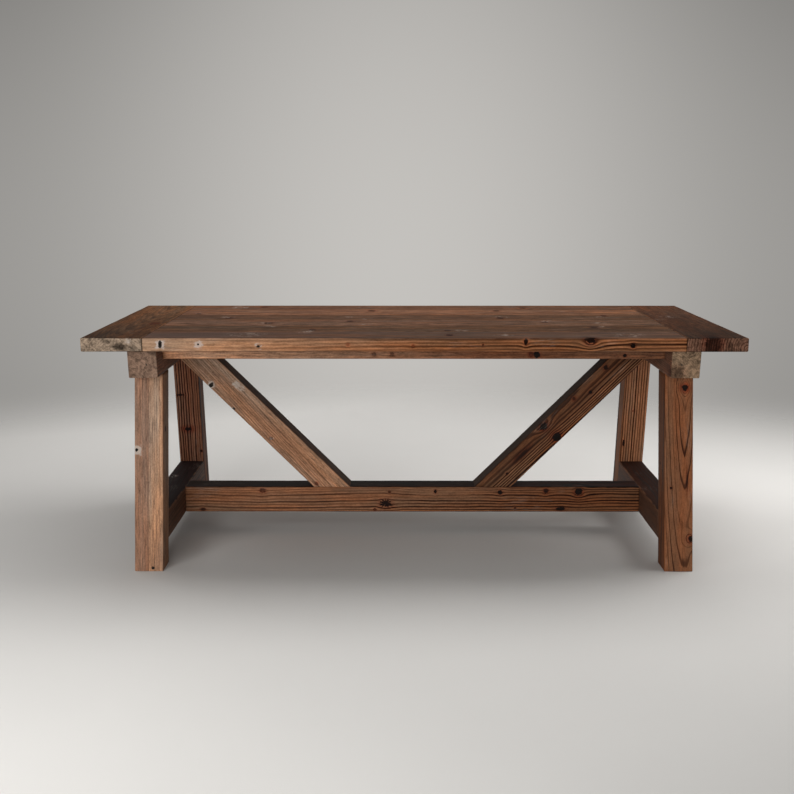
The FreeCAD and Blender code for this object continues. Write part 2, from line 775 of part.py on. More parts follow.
def make_brace_screws(label):
    """A lag screw through each head, and one up through the stretcher, into each brace."""
    screws = []
    for end, side in SIDES.items():
        length = "Places.brace_screw_length"
        top = make_hex_fastener(f"brace_screw_head_{end}", "brace_screw", length)
        place(
            top,
            x=f"{side} * (Places.trestle_outer - Sizes.brace_screw_sink)",
            z="Places.head_bottom + Places.half_beam",
            axis=Y_AXIS,
            angle=-side * QUARTER_TURN,
        )
        foot = make_hex_fastener(f"brace_screw_foot_{end}", "brace_screw", length)
        place(
            foot,
            x=f"{side} * Places.foot_screw_place",
            z="Sizes.rail_lift + Sizes.brace_screw_sink",
        )
        screws.extend([top, foot])
    group(label, screws)


def make_washer(name):
    """A flat washer that lies on z = 0."""
    body = new_body(name, listed=False)
    ring = new_sketch(body, "Ring", "XY_Plane")
    circle(ring, ("0", "0"), "Sizes.washer_radius")
    circle(ring, ("0", "0"), "Sizes.bolt_radius + Sizes.hole_fit")
    pad(body, ring, "Sizes.washer_thickness", both_ways=False)
    return body


def make_barrel_nut(name):
    """A cross dowel about +Z, with the bolt's hole through its middle along X."""
    body = new_body(name, listed=False)
    barrel = new_sketch(body, "Barrel", "XY_Plane")
    circle(barrel, ("0", "0"), "Sizes.nut_radius")
    pad(body, barrel, "Sizes.nut_length")
    hole = new_sketch(body, "CrossHole", "YZ_Plane")
    circle(hole, ("0", "0"), "Sizes.bolt_radius + Sizes.pilot_fit")
    pocket(body, hole)
    return body


def make_stretcher_bolts():
    """The bolts, washers and barrel nuts that pull the rails onto the stretcher."""
    bolts = []
    washers = []
    nuts = []
    level = "Sizes.rail_lift + Places.half_beam"
    for end, side in SIDES.items():
        seat = f"{side} * (Places.trestle_middle + Places.bolt_seat)"
        inward = -side * QUARTER_TURN
        bolt = make_hex_fastener(f"bolt_{end}", "bolt", "Places.bolt_length")
        place(bolt, x=seat, z=level, axis=Y_AXIS, angle=inward)
        bolts.append(bolt)
        washer = make_washer(f"washer_{end}")
        place(washer, x=seat, z=level, axis=Y_AXIS, angle=inward)
        washers.append(washer)
        nut = make_barrel_nut(f"nut_{end}")
        place(nut, x=f"{side} * Places.nut_place", z=level)
        nuts.append(nut)
    group("stretcher_bolts", bolts)
    group("bolt_washers", washers)
    group("barrel_nuts", nuts)


# -------------------------------------------------------------------------- assembly

for plank_index, plank_name in enumerate(PLANK_NAMES):
    make_plank(plank_index, plank_name)
for seam_index, spline_name in enumerate(SPLINE_NAMES):
    make_spline(seam_index, spline_name)
make_stretcher("stretcher")
make_apron("apron_front", 0)
make_apron("apron_back", HALF_TURN)
for side_name, side_sign in SIDES.items():
    side_turn = HALF_TURN if side_sign < 0 else 0
    make_breadboard(f"breadboard_{side_name}", side_turn)
    make_pegs(f"breadboard_pegs_{side_name}", side_sign)
    make_head(f"head_{side_name}", side_turn)
    make_leg(f"leg_front_{side_name}", side_sign, 0)
    make_leg(f"leg_back_{side_name}", side_sign, HALF_TURN)
    make_rail(f"rail_{side_name}", side_turn)
    make_brace(f"brace_{side_name}", side_turn)
make_top_screws("top_screws")
make_brace_screws("brace_screws")
make_stretcher_bolts()

document.recompute()

# ---------------------------------------------------------------- checks and export

for item in document.Objects:
    if "Invalid" in item.State or "Error" in item.State:
        raise RuntimeError(f"{item.Label} failed: {item.State}")
    if item.TypeId == "Sketcher::SketchObject" and not item.FullyConstrained:
        raise RuntimeError(f"{item.Name} isn't fully constrained")
for node in nodes:
    if node.Shape.isNull() or not node.Shape.isValid():
        raise RuntimeError(f"{node.Label} has no valid shape")

os.makedirs("parts", exist_ok=True)
for node in nodes:
    node.Shape.exportStep(os.path.join("parts", f"{node.Label}.step"))
    print(node.Label, len(node.Shape.Solids), round(node.Shape.Volume / 1000), "cm3")
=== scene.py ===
"""Looks of the sawbuck table: worn and stained softwood timbers, plain joinery and zinc-plated fasteners."""

import logging
import math
from dataclasses import dataclass, field, fields, replace
from enum import Enum
from typing import Iterable, Sequence

import bmesh
import bpy
from mathutils import Matrix, Vector, noise


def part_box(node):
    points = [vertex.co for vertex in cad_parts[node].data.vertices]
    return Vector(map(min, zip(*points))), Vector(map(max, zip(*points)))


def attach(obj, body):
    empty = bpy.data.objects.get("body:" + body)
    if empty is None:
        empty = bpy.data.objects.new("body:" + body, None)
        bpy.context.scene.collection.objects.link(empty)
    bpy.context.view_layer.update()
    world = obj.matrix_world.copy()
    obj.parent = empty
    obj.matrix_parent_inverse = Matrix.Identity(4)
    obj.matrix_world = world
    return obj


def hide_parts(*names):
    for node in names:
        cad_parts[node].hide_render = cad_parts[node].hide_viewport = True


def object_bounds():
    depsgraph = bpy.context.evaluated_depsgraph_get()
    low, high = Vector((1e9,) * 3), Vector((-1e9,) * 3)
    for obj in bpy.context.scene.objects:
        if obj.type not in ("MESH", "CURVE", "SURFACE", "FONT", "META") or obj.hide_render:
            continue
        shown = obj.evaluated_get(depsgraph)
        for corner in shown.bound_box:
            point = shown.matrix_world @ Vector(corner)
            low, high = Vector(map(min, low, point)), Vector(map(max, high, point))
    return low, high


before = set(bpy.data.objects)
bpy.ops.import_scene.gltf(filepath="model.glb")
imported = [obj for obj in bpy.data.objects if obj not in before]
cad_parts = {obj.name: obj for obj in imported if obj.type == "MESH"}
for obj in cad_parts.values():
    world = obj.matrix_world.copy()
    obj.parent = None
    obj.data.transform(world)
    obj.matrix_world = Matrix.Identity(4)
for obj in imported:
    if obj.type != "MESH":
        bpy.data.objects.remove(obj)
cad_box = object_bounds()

LOG = logging.getLogger("sawbuck_table")
BODY = "root"

Colour = tuple[float, float, float]
Socket = bpy.types.NodeSocket
WHITE: Colour = (1.0, 1.0, 1.0)

# What growth and age do to stained wood: factors on its colour, but for the last three, which are colours.
EARLY_WOOD: Colour = (0.72, 0.79, 0.86)
HARD_LINE: Colour = (0.10, 0.045, 0.02)
END_LINE: Colour = (0.30, 0.24, 0.22)
WARM_DRIFT: Colour = (1.13, 0.98, 0.86)
COOL_DRIFT: Colour = (0.88, 1.02, 1.16)
EMBER: Colour = (0.84, 0.43, 0.36)
RUBBED: Colour = (1.55, 1.35, 1.2)
CHAR: Colour = (0.0035, 0.0025, 0.002)
CHAR_CRUST: Colour = (0.018, 0.0085, 0.005)
HOLE: Colour = (0.045, 0.038, 0.032)

X = Vector((1, 0, 0))
Y = Vector((0, 1, 0))
Z = Vector((0, 0, 1))


class Slot(Enum):
    """The record's material slots."""

    TOP = "top_boards"
    FRAME = "frame_timber"
    SPLINE = "spline_wood"
    PEG = "peg_wood"
    STEEL = "zinc_steel"


class Side(Enum):
    """An end of the table, with its direction along X."""

    LEFT = -1
    RIGHT = 1

    @property
    def word(self) -> str:
        """The word that the end's nodes carry."""
        return self.name.lower()


class Face(Enum):
    """A long side of the table, with its direction along Y."""

    FRONT = -1
    BACK = 1

    @property
    def word(self) -> str:
        """The word that the side's nodes carry."""
        return self.name.lower()


# ------------------------------------------------------------------ shader networks


class Net:
    """Adds nodes to one shader tree and joins their sockets."""

    def __init__(self, tree: bpy.types.NodeTree) -> None:
        """Starts on a tree.

        Args:
            tree: the material's, world's or group's node tree.
        """
        self.tree = tree

    def node(self, kind: str, inputs: dict | None = None, **settings: object) -> bpy.types.Node:
        """Adds a node.

        Args:
            kind: the node's type, without the ShaderNode in front.
            inputs: values or sockets by input name or number.
            settings: the node's own properties.

        Returns:
            The new node.
        """
        made = self.tree.nodes.new("ShaderNode" + kind)
        for name, value in settings.items():
            setattr(made, name, value)
        for key, value in (inputs or {}).items():
            self.feed(made.inputs[key], value)
        return made

    def feed(self, socket: Socket, value: object) -> None:
        """Links a socket, or sets its value.

        Args:
            socket: the input.
            value: an output socket, a number, a vector or a colour.
        """
        if isinstance(value, bpy.types.NodeSocket):
            self.tree.links.new(value, socket)
        elif socket.type == "RGBA":
            socket.default_value = (*value, 1.0)
        else:
            socket.default_value = value

    def math(self, operation: str, first: object, second: object = 0.0, clamp: bool = False) -> Socket:
        """One sum.

        Args:
            operation: the Math node's operation.
            first: the first value or socket.
            second: the second one, where the operation has it.
            clamp: whether the result is kept within 0 and 1.

        Returns:
            The result.
        """
        made = self.node("Math", {0: first, 1: second}, operation=operation, use_clamp=clamp)
        return made.outputs[0]

    def add(self, first: object, second: object) -> Socket:
        """Adds two numbers."""
        return self.math("ADD", first, second)

    def minus(self, first: object, second: object) -> Socket:
        """Takes the second number from the first."""
        return self.math("SUBTRACT", first, second)

    def times(self, first: object, second: object) -> Socket:
        """Multiplies two numbers."""
        return self.math("MULTIPLY", first, second)

    def vector(self, operation: str, first: object, second: object = (0, 0, 0)) -> Socket:
        """One sum on vectors.

        Args:
            operation: the Vector Math node's operation.
            first: the first vector.
            second: the second one, or a number for SCALE.

        Returns:
            The result, a number for LENGTH and DOT_PRODUCT.
        """
        made = self.node("VectorMath", {0: first}, operation=operation)
        if operation == "SCALE":
            self.feed(made.inputs["Scale"], second)
        elif operation != "LENGTH":
            self.feed(made.inputs[1], second)
        return made.outputs["Value" if operation in ("LENGTH", "DOT_PRODUCT") else "Vector"]

    def ease(
        self, value: object, start: object, end: object, low: object = 0.0, high: object = 1.0
    ) -> Socket:
        """A smooth rise from low to high while value goes from start to end.

        Args:
            value: what is mapped.
            start: where the rise starts.
            end: where it ends.
            low: the result at the start.
            high: the result at the end.

        Returns:
            The mapped value.
        """
        inputs = {"Value": value, "From Min": start, "From Max": end, "To Min": low, "To Max": high}
        return self.node("MapRange", inputs, interpolation_type="SMOOTHSTEP").outputs[0]

    def span(self, value: object, low: object, high: object) -> Socket:
        """Maps a value between 0 and 1 onto low to high, in a straight line."""
        inputs = {"Value": value, "To Min": low, "To Max": high}
        return self.node("MapRange", inputs, clamp=True).outputs[0]

    def blend(self, share: object, first: object, second: object) -> Socket:
        """Mixes two colours.

        Args:
            share: how much of the second colour there is.
            first: the first colour.
            second: the second one.

        Returns:
            The mixed colour.
        """
        made = self.node("Mix", {0: share, 6: first, 7: second}, data_type="RGBA", clamp_factor=True)
        return made.outputs[2]

    def tint(self, colour: object, amount: object) -> Socket:
        """Multiplies a colour by a number."""
        return self.vector("SCALE", colour, amount)

    def xyz(self, x: object = 0.0, y: object = 0.0, z: object = 0.0) -> Socket:
        """Makes a vector of three values."""
        return self.node("CombineXYZ", {0: x, 1: y, 2: z}).outputs[0]

    def parts(self, vector: Socket) -> tuple[Socket, Socket, Socket]:
        """Splits a vector into its three values."""
        made = self.node("SeparateXYZ", {0: vector})
        return made.outputs[0], made.outputs[1], made.outputs[2]

    def cloud(
        self, place: Socket, scale: object, detail: float = 2.0, rough: float = 0.5, colour: bool = False
    ) -> Socket:
        """Smooth noise.

        Args:
            place: where it is read.
            scale: how fine it is: one number, or one for each direction.
            detail: how many finer layers it has.
            rough: how strong the finer layers are.
            colour: whether three values come out rather than one.

        Returns:
            The noise, about one half.
        """
        if isinstance(scale, tuple):
            place = self.vector("MULTIPLY", place, scale)
            scale = 1.0
        inputs = {"Vector": place, "Scale": scale, "Detail": detail, "Roughness": rough}
        return self.node("TexNoise", inputs).outputs["Color" if colour else 0]

    def group(self, tree: bpy.types.NodeTree, inputs: dict) -> bpy.types.Node:
        """Places a node group.

        Args:
            tree: the group.
            inputs: values or sockets by input name.

        Returns:
            The group's node.
        """
        made = self.tree.nodes.new("ShaderNodeGroup")
        made.node_tree = tree
        for name, value in inputs.items():
            self.feed(made.inputs[name], value)
        return made


class Kind(Enum):
    """What a node group's socket carries."""

    NUMBER = "NodeSocketFloat"
    VECTOR = "NodeSocketVector"
    COLOUR = "NodeSocketColor"


class Effect(Net):
    """A node group that several materials share."""

    def __init__(self, name: str, takes: dict[str, Kind], gives: dict[str, Kind]) -> None:
        """Makes the group with its sockets.

        Args:
            name: the group's name.
            takes: its inputs.
            gives: its outputs.
        """
        super().__init__(bpy.data.node_groups.new(name, "ShaderNodeTree"))
        for socket, kind in takes.items():
            self.tree.interface.new_socket(name=socket, in_out="INPUT", socket_type=kind.value)
        for socket, kind in gives.items():
            self.tree.interface.new_socket(name=socket, in_out="OUTPUT", socket_type=kind.value)
        self.taken = self.tree.nodes.new("NodeGroupInput").outputs
        self.given = self.tree.nodes.new("NodeGroupOutput").inputs

    def give(self, name: str, value: object) -> None:
        """Feeds one of the group's outputs."""
        self.feed(self.given[name], value)


class Effects:
    """The node groups, each built once."""

    def __init__(self) -> None:
        """Builds every group."""
        self.axes = self.timber_axes()
        self.rings = self.growth_rings()
        self.knot = self.knot_or_nail()
        self.wood = self.stained_wood()

    @staticmethod
    def timber_axes() -> bpy.types.NodeTree:
        """Gives places and directions in a timber's own axes: along, across and through it.

        Returns:
            The group.
        """
        effect = Effect(
            "Timber axes",
            {"Middle": Kind.VECTOR, "Turn": Kind.VECTOR},
            {"Place": Kind.VECTOR, "Facing": Kind.VECTOR},
        )
        here = effect.node("TexCoord")
        place = {"Vector": here.outputs["Object"], "Location": effect.taken["Middle"]}
        facing = {"Vector": here.outputs["Normal"]}
        for output, inputs in (("Place", place), ("Facing", facing)):
            inputs["Rotation"] = effect.taken["Turn"]
            effect.give(output, effect.node("Mapping", inputs, vector_type="TEXTURE").outputs[0])
        return effect.tree

    @staticmethod
    def growth_rings() -> bpy.types.NodeTree:
        """Gives the distance from the tree's pith, which wanders as a grown trunk does.

        Returns:
            The group.
        """
        effect = Effect(
            "Growth rings",
            {"Place": Kind.VECTOR, "Pith": Kind.VECTOR, "Lean": Kind.VECTOR, "Wander": Kind.NUMBER},
            {"Distance": Kind.NUMBER},
        )
        place = effect.taken["Place"]
        along = effect.parts(place)[0]
        slow = effect.cloud(place, (1.9, 8.0, 8.0), 1.0, colour=True)
        fast = effect.cloud(place, (11.0, 46.0, 46.0), 2.0, colour=True)
        slow = effect.vector("SUBTRACT", slow, (0.5, 0.5, 0.5))
        fast = effect.vector("SUBTRACT", fast, (0.5, 0.5, 0.5))
        sway = effect.vector("ADD", slow, effect.vector("SCALE", fast, 0.12))
        sway = effect.vector("SCALE", sway, effect.taken["Wander"])
        pith = effect.vector("ADD", effect.taken["Pith"], effect.vector("SCALE", effect.taken["Lean"], along))
        off = effect.vector("ADD", effect.vector("SUBTRACT", place, pith), sway)
        off = effect.vector("MULTIPLY", off, (0, 1, 1))
        effect.give("Distance", effect.vector("LENGTH", off))
        return effect.tree

    @staticmethod
    def knot_or_nail() -> bpy.types.NodeTree:
        """Turns the growth rings aside round one spot, and adds it to the masks of core and surround.

        Returns:
            The group.
        """
        numbers = ("Distance", "Core", "Glow", "Radius", "Ring here", "Push", "Eye")
        numbers += ("Core amount", "Glow amount", "Glow reach", "Soft", "Spokes")
        takes = dict.fromkeys(numbers, Kind.NUMBER) | dict.fromkeys(("Place", "Centre", "Shape"), Kind.VECTOR)
        gives = dict.fromkeys(("Distance", "Core", "Glow"), Kind.NUMBER)
        effect = Effect("Knot or nail", takes, gives)
        taken = effect.taken
        off = effect.vector("SUBTRACT", taken["Place"], taken["Centre"])
        off = effect.vector("DIVIDE", off, taken["Shape"])
        reach = effect.math("DIVIDE", effect.vector("LENGTH", off), taken["Radius"])
        ragged = effect.cloud(taken["Place"], 130.0, 2.0)
        uneven = effect.times(effect.minus(ragged, 0.5), 0.9)
        outward = effect.vector("ADD", effect.vector("NORMALIZE", off), taken["Centre"])
        spokes = effect.times(effect.minus(effect.cloud(outward, 3.6, 1.0), 0.5), taken["Spokes"])
        rim = effect.add(effect.add(reach, uneven), spokes)

        squared = effect.times(reach, reach)
        away = effect.minus(taken["Distance"], taken["Ring here"])
        away = effect.times(away, taken["Push"])
        pushed = effect.math("DIVIDE", away, effect.add(squared, 0.7))
        swell = effect.math("EXPONENT", effect.times(squared, -0.13))
        swell = effect.times(effect.times(swell, taken["Eye"]), taken["Radius"])
        distance = effect.add(effect.minus(taken["Distance"], pushed), swell)
        effect.give("Distance", distance)

        outer = effect.add(taken["Soft"], 1.25)
        inner = effect.minus(0.95, taken["Soft"])
        core = effect.times(effect.ease(rim, outer, inner), taken["Core amount"])
        effect.give("Core", effect.math("MAXIMUM", taken["Core"], core))
        glow = effect.times(effect.ease(rim, taken["Glow reach"], 0.9), taken["Glow amount"])
        effect.give("Glow", effect.math("MAXIMUM", taken["Glow"], glow))
        return effect.tree

    @staticmethod
    def stained_wood() -> bpy.types.NodeTree:
        """Colours, roughens and raises stained softwood from its rings, knots, nails and marks of age, and
        paints light and shade on it.

        Returns:
            The group.
        """
        vectors = ("Place", "Facing", "Half size", "Other side", "Speckle", "Fineness")
        colours = ("Heart", "Sap", "Patch", "End", "Low tone", "High tone")
        colours += ("Other low", "Other high", "Other bloom", "Bloom colour")
        numbers = ("Distance", "Knot", "Knot glow", "Hole", "Bloom", "Shift", "Ring width", "Ring depth")
        numbers += ("Sap ring depth", "Sap from", "Late wood", "Fading", "Low end depth", "Other depth")
        numbers += ("Patchiness", "Fibre", "Scuffs", "Edge wear", "End depth", "End cracks")
        numbers += ("Tone from", "Tone to", "Dirt from", "Roughness")
        takes = dict.fromkeys(vectors, Kind.VECTOR) | dict.fromkeys(colours, Kind.COLOUR)
        takes |= dict.fromkeys(numbers, Kind.NUMBER)
        gives = {"Colour": Kind.COLOUR, "Roughness": Kind.NUMBER, "Height": Kind.NUMBER}
        effect = Effect("Stained wood", takes, gives)
        taken = effect.taken
        add, minus, times = effect.add, effect.minus, effect.times
        place = effect.vector("ADD", taken["Place"], effect.xyz(taken["Shift"], 0.0, taken["Shift"]))
        along, across, deep = effect.parts(taken["Place"])

        # Growth rings: pale wood that darkens slowly to a thin hard line, no two alike.
        count = effect.math("DIVIDE", taken["Distance"], taken["Ring width"])
        crowding = effect.cloud(effect.xyz(count, taken["Shift"], 0.0), (0.37, 3.1, 1.0), 1.0)
        jitter = effect.cloud(place, (4.0, 70.0, 70.0), 1.0)
        count = add(count, add(times(crowding, 1.3), times(jitter, 0.4)))
        within = effect.math("FRACT", count)
        start = add(times(taken["Late wood"], -2.2), 1.0)
        full = add(times(taken["Late wood"], -0.9), 1.0)
        line = times(effect.ease(within, start, full), effect.ease(within, 1.0, 0.94))
        ring = {"W": effect.math("FLOOR", count)}
        each = effect.node("TexWhiteNoise", ring, noise_dimensions="1D").outputs[0]
        fading = effect.cloud(place, (2.1, 14.0, 14.0), 2.0)
        faint = minus(1.0, taken["Fading"])
        line = times(line, times(effect.span(each, 0.48, 1.12), effect.ease(fading, 0.3, 0.55, faint, 1.0)))
        length, half_width, half_depth = effect.parts(taken["Half size"])
        wide = effect.cloud(place, (1.6, 30.0, 30.0), 2.0, 0.5)
        share = add(times(effect.math("DIVIDE", along, length), 0.5), 0.5)
        share = effect.math("ADD", share, times(minus(wide, 0.5), 0.25), clamp=True)
        outside = minus(taken["Distance"], taken["Sap from"])
        sapwood = effect.ease(outside, -0.001, 0.003)
        depth = effect.span(sapwood, taken["Ring depth"], taken["Sap ring depth"])
        depth = times(depth, effect.span(share, taken["Low end depth"], 1.0))
        # Painted light and shade: the side turned to Other side is tinted apart below, darker where it lies
        # in shade, lighter where it is lit.
        turned = effect.ease(effect.vector("DOT_PRODUCT", taken["Facing"], taken["Other side"]), 0.55, 0.85)
        depth = times(depth, effect.span(turned, 1.0, taken["Other depth"]))

        # Base colour with fine fibres, wider streaks and cloudy patches of stain.
        wood = effect.blend(sapwood, taken["Heart"], taken["Sap"])
        lifted = effect.vector("ADD", effect.tint(EARLY_WOOD, depth), WHITE)
        lifted = effect.vector("MULTIPLY", wood, lifted)
        sunk = effect.vector("MULTIPLY", wood, HARD_LINE)
        wood = effect.blend(times(line, depth), lifted, sunk)
        fibrous = effect.vector("MULTIPLY", place, taken["Fineness"])
        fine = effect.cloud(fibrous, (17.0, 190.0, 190.0), 3.0, 0.75)
        streak = effect.cloud(fibrous, (5.0, 90.0, 90.0), 3.0, 0.65)
        speck = effect.cloud(place, (150.0, 240.0, 240.0), 2.0, 0.7)
        grainy = times(minus(fine, 0.5), 2.0)
        grainy = add(grainy, times(minus(streak, 0.5), 0.45))
        grainy = add(grainy, times(minus(wide, 0.5), 0.4))
        grainy = add(grainy, times(minus(speck, 0.5), 0.9))
        pores = effect.cloud(effect.vector("ADD", place, (2.9, 0, 0)), (40.0, 400.0, 400.0), 2.0, 0.6)
        grainy = minus(grainy, times(effect.ease(pores, 0.54, 0.7), 0.16))
        wood = effect.tint(wood, effect.math("MAXIMUM", add(times(grainy, taken["Fibre"]), 1.0), 0.12))
        drift = effect.cloud(effect.vector("ADD", place, (5.3, 0, 0)), (2.3, 21.0, 21.0), 3.0, 0.6)
        hue = effect.blend(effect.ease(drift, 0.3, 0.7), WARM_DRIFT, COOL_DRIFT)
        wood = effect.vector("MULTIPLY", wood, hue)
        cloudy = effect.cloud(place, (3.2, 11.0, 11.0), 4.0, 0.62)
        patched = times(effect.ease(cloudy, 0.42, 0.72), taken["Patchiness"])
        wood = effect.blend(patched, wood, taken["Patch"])

        # Tone from one end of the timber to the other: partly the wood's own tone, partly painted light that
        # falls off along it.
        turning = effect.node(
            "MapRange", {"Value": share, "From Min": taken["Tone from"], "From Max": taken["Tone to"]}
        ).outputs[0]
        tone = effect.blend(turning, taken["Low tone"], taken["High tone"])
        # Painted light and shade: the side turned to Other side takes the Other low to Other high tint
        # instead.
        other = effect.blend(turning, taken["Other low"], taken["Other high"])
        wood = effect.vector("MULTIPLY", wood, effect.blend(turned, tone, other))

        # End grain, read from the direction that the surface faces.
        lengthwise = effect.math("ABSOLUTE", effect.parts(taken["Facing"])[0])
        cut_end = effect.ease(lengthwise, 0.55, 0.85)
        bent = effect.vector("SCALE", effect.cloud(place, 26.0, 3.0, 0.6, colour=True), 0.045)
        bent = effect.vector("ADD", place, bent)
        coarse = effect.cloud(bent, (50.0, 85.0, 85.0), 5.0, 0.68)
        stains = effect.cloud(place, (8.0, 24.0, 24.0), 3.0, 0.6)
        end = effect.tint(taken["End"], effect.ease(coarse, 0.33, 0.67, 0.52, 1.52))
        sunk_end = effect.vector("MULTIPLY", end, END_LINE)
        end = effect.blend(times(line, taken["End depth"]), end, sunk_end)
        end = effect.tint(end, effect.ease(stains, 0.3, 0.5, 0.55, 1.0))
        off_level = effect.math("ABSOLUTE", minus(effect.cloud(bent, 44.0, 2.0, 0.5), 0.5))
        cracks = times(effect.ease(off_level, 0.045, 0.012), effect.ease(stains, 0.66, 0.46))
        end = effect.tint(end, effect.span(times(cracks, taken["End cracks"]), 1.0, 0.3))
        wood = effect.blend(cut_end, wood, end)

        # Knots: a reddish ring round a near-black core with a cracked middle.
        glow = times(taken["Knot glow"], effect.ease(streak, 0.2, 0.7, 0.6, 1.0))
        ember = effect.vector("MULTIPLY", wood, EMBER)
        wood = effect.blend(glow, wood, ember)
        crust = effect.cloud(place, 310.0, 3.0, 0.7)
        char = effect.blend(effect.ease(crust, 0.48, 0.75), CHAR, CHAR_CRUST)
        wood = effect.blend(times(taken["Knot"], 0.97), wood, char)

        # Dirt in the joint at the end of the timber.
        joint = minus(effect.math("ABSOLUTE", along), taken["Dirt from"])
        wood = effect.tint(wood, effect.ease(joint, -0.0035, -0.0012, 1.0, 0.25))

        # Wear: rubbed arrises, pale scratches along the grain and bloom round nail holes.
        gap_across = minus(half_width, effect.math("ABSOLUTE", across))
        gap_deep = minus(half_depth, effect.math("ABSOLUTE", deep))
        to_arris = effect.math("MAXIMUM", gap_across, gap_deep)
        rubbed = effect.cloud(place, (22.0, 60.0, 60.0), 3.0, 0.6)
        edge = times(effect.ease(to_arris, 0.0065, 0.0008), effect.ease(rubbed, 0.36, 0.62))
        edge = times(edge, taken["Edge wear"])
        wood = effect.blend(edge, wood, effect.vector("MULTIPLY", taken["Sap"], RUBBED))
        scratch = effect.cloud(effect.vector("ADD", place, (3.7, 0, 0)), (26.0, 330.0, 330.0), 2.0, 0.5)
        sparse = effect.cloud(effect.vector("ADD", place, (9.1, 0, 0)), (5.5, 16.0, 16.0), 2.0, 0.6)
        scuff = times(effect.ease(scratch, 0.5, 0.66), effect.ease(sparse, 0.54, 0.68))
        scuff = times(scuff, taken["Scuffs"])
        speckled = effect.cloud(effect.vector("MULTIPLY", place, taken["Speckle"]), 1.0, 3.0, 0.7)
        patchy = effect.ease(effect.cloud(place, (38.0, 38.0, 110.0), 3.0, 0.65), 0.42, 0.58)
        broken = times(effect.ease(speckled, 0.43, 0.56), patchy)
        heart = effect.ease(taken["Bloom"], 0.78, 1.0)
        bloom = times(taken["Bloom"], effect.math("MAXIMUM", broken, times(heart, 0.75)))
        pale = effect.math("MAXIMUM", scuff, bloom)
        # Pale marks on the side turned to Other side take its Other bloom tint, part of that side's painted
        # light.
        whiter = effect.blend(turned, WHITE, taken["Other bloom"])
        dusty = effect.vector("MULTIPLY", taken["Bloom colour"], whiter)
        wood = effect.blend(pale, wood, dusty)
        wood = effect.blend(taken["Hole"], wood, HOLE)
        effect.give("Colour", wood)

        rough = add(taken["Roughness"], times(pale, 0.18))
        rough = add(rough, times(cut_end, 0.2))
        rough = minus(rough, times(line, 0.09))
        rough = effect.math("ADD", rough, times(minus(fine, 0.5), 0.16), clamp=True)
        effect.give("Roughness", rough)

        # Height in millimetres: hard lines stand proud, end grain is ragged and knots are cracked.
        height = add(times(times(line, depth), 0.16), times(grainy, 0.14))
        ragged = minus(coarse, times(cracks, 0.6))
        height = add(height, times(times(ragged, cut_end), 0.9))
        height = add(height, times(times(crust, taken["Knot"]), 0.5))
        effect.give("Height", minus(height, times(taken["Hole"], 1.0)))
        return effect.tree


# ------------------------------------------------------------------ finishes


@dataclass(frozen=True)
class Stain:
    """A stained softwood finish. Sizes are in metres and colours are linear."""

    heart: Colour
    sap: Colour
    patch: Colour
    end: Colour
    ring_width: float = 0.0085
    late_wood: float = 0.3
    fading: float = 0.3
    ring_depth: float = 0.6
    sap_ring_depth: float = 0.6
    sap_from: float = 1.0
    patchiness: float = 0.3
    fibre: float = 1.3
    scuffs: float = 0.12
    edge_wear: float = 0.4
    end_depth: float = 0.6
    end_cracks: float = 0.5
    low_end_depth: float = 1.0
    fineness: tuple[float, float, float] = (1.0, 1.0, 1.0)
    dirt_from: float = 9.0
    # Between tone_from and tone_to along the timber, its colour turns from low_tone to high_tone: partly the
    # wood's own tone, partly painted light that falls off along it.
    tone_from: float = 0.0
    tone_to: float = 1.0
    low_tone: Colour = WHITE
    high_tone: Colour = WHITE
    # The side that faces other_side is painted apart: other_low, other_high and other_bloom tint it, as
    # painted shade where it lies in shade and painted light where it is lit, and other_depth sets its rings.
    other_side: tuple[float, float, float] = (0.0, 0.0, 0.0)
    other_low: Colour = WHITE
    other_high: Colour = WHITE
    other_bloom: Colour = WHITE
    other_depth: float = 1.0
    bloom_colour: Colour = (0.50, 0.43, 0.37)
    speckle: tuple[float, float, float] = (110.0, 220.0, 220.0)
    roughness: float = 0.64
    specular: float = 0.08

    def inputs(self) -> dict[str, object]:
        """The finish's values by the names of the stained wood group's inputs."""
        names = [part.name for part in fields(self) if part.name != "specular"]
        return {name.replace("_", " ").capitalize(): getattr(self, name) for name in names}


@dataclass(frozen=True)
class Growth:
    """Where the tree's pith lies in a timber's own axes, and how it leans per metre."""

    across: float
    deep: float
    lean_across: float = 0.0
    lean_deep: float = 0.0
    wander: float = 0.02

    def distance(self, place: Vector) -> float:
        """How far a place in the timber's axes is from the pith, without its wander."""
        off_across = place.y - self.across - self.lean_across * place.x
        off_deep = place.z - self.deep - self.lean_deep * place.x
        return math.hypot(off_across, off_deep)


@dataclass(frozen=True)
class Knot:
    """A branch's root in the wood, at a place in the table's frame."""

    place: tuple[float, float, float]
    radius: float
    push: float = 1.0
    eye: float = 0.0
    dark: float = 1.0
    glow: float = 0.5
    reach: float = 2.4
    stretch: float = 1.0
    tall: float = 1.0
    through: float = 3.0
    soft: float = 0.0
    spokes: float = 0.5


@dataclass(frozen=True)
class Mark:
    """An old nail's hole with the pale bloom round it, or a rubbed patch where the radius is nil."""

    place: tuple[float, float, float]
    radius: float = 0.0
    stretch: float = 1.0
    tall: float = 1.0
    bloom: float = 0.9
    bloom_radius: float = 0.014
    bored: bool = False


@dataclass(frozen=True)
class Axes:
    """A timber's own directions: along the grain, across its face and through it."""

    middle: Vector
    along: Vector
    across: Vector

    @property
    def deep(self) -> Vector:
        """The third direction."""
        return self.along.cross(self.across)

    @property
    def turn(self) -> Matrix:
        """The turn from the timber's axes to the table's."""
        return Matrix((self.along, self.across, self.deep)).transposed()

    def out(self, place: Vector) -> Vector:
        """A place in the timber's axes, in the table's frame."""
        return self.middle + self.turn @ place

    def into(self, place: Sequence[float]) -> Vector:
        """A place in the table's frame, in the timber's axes."""
        return self.turn.transposed() @ (Vector(place) - self.middle)


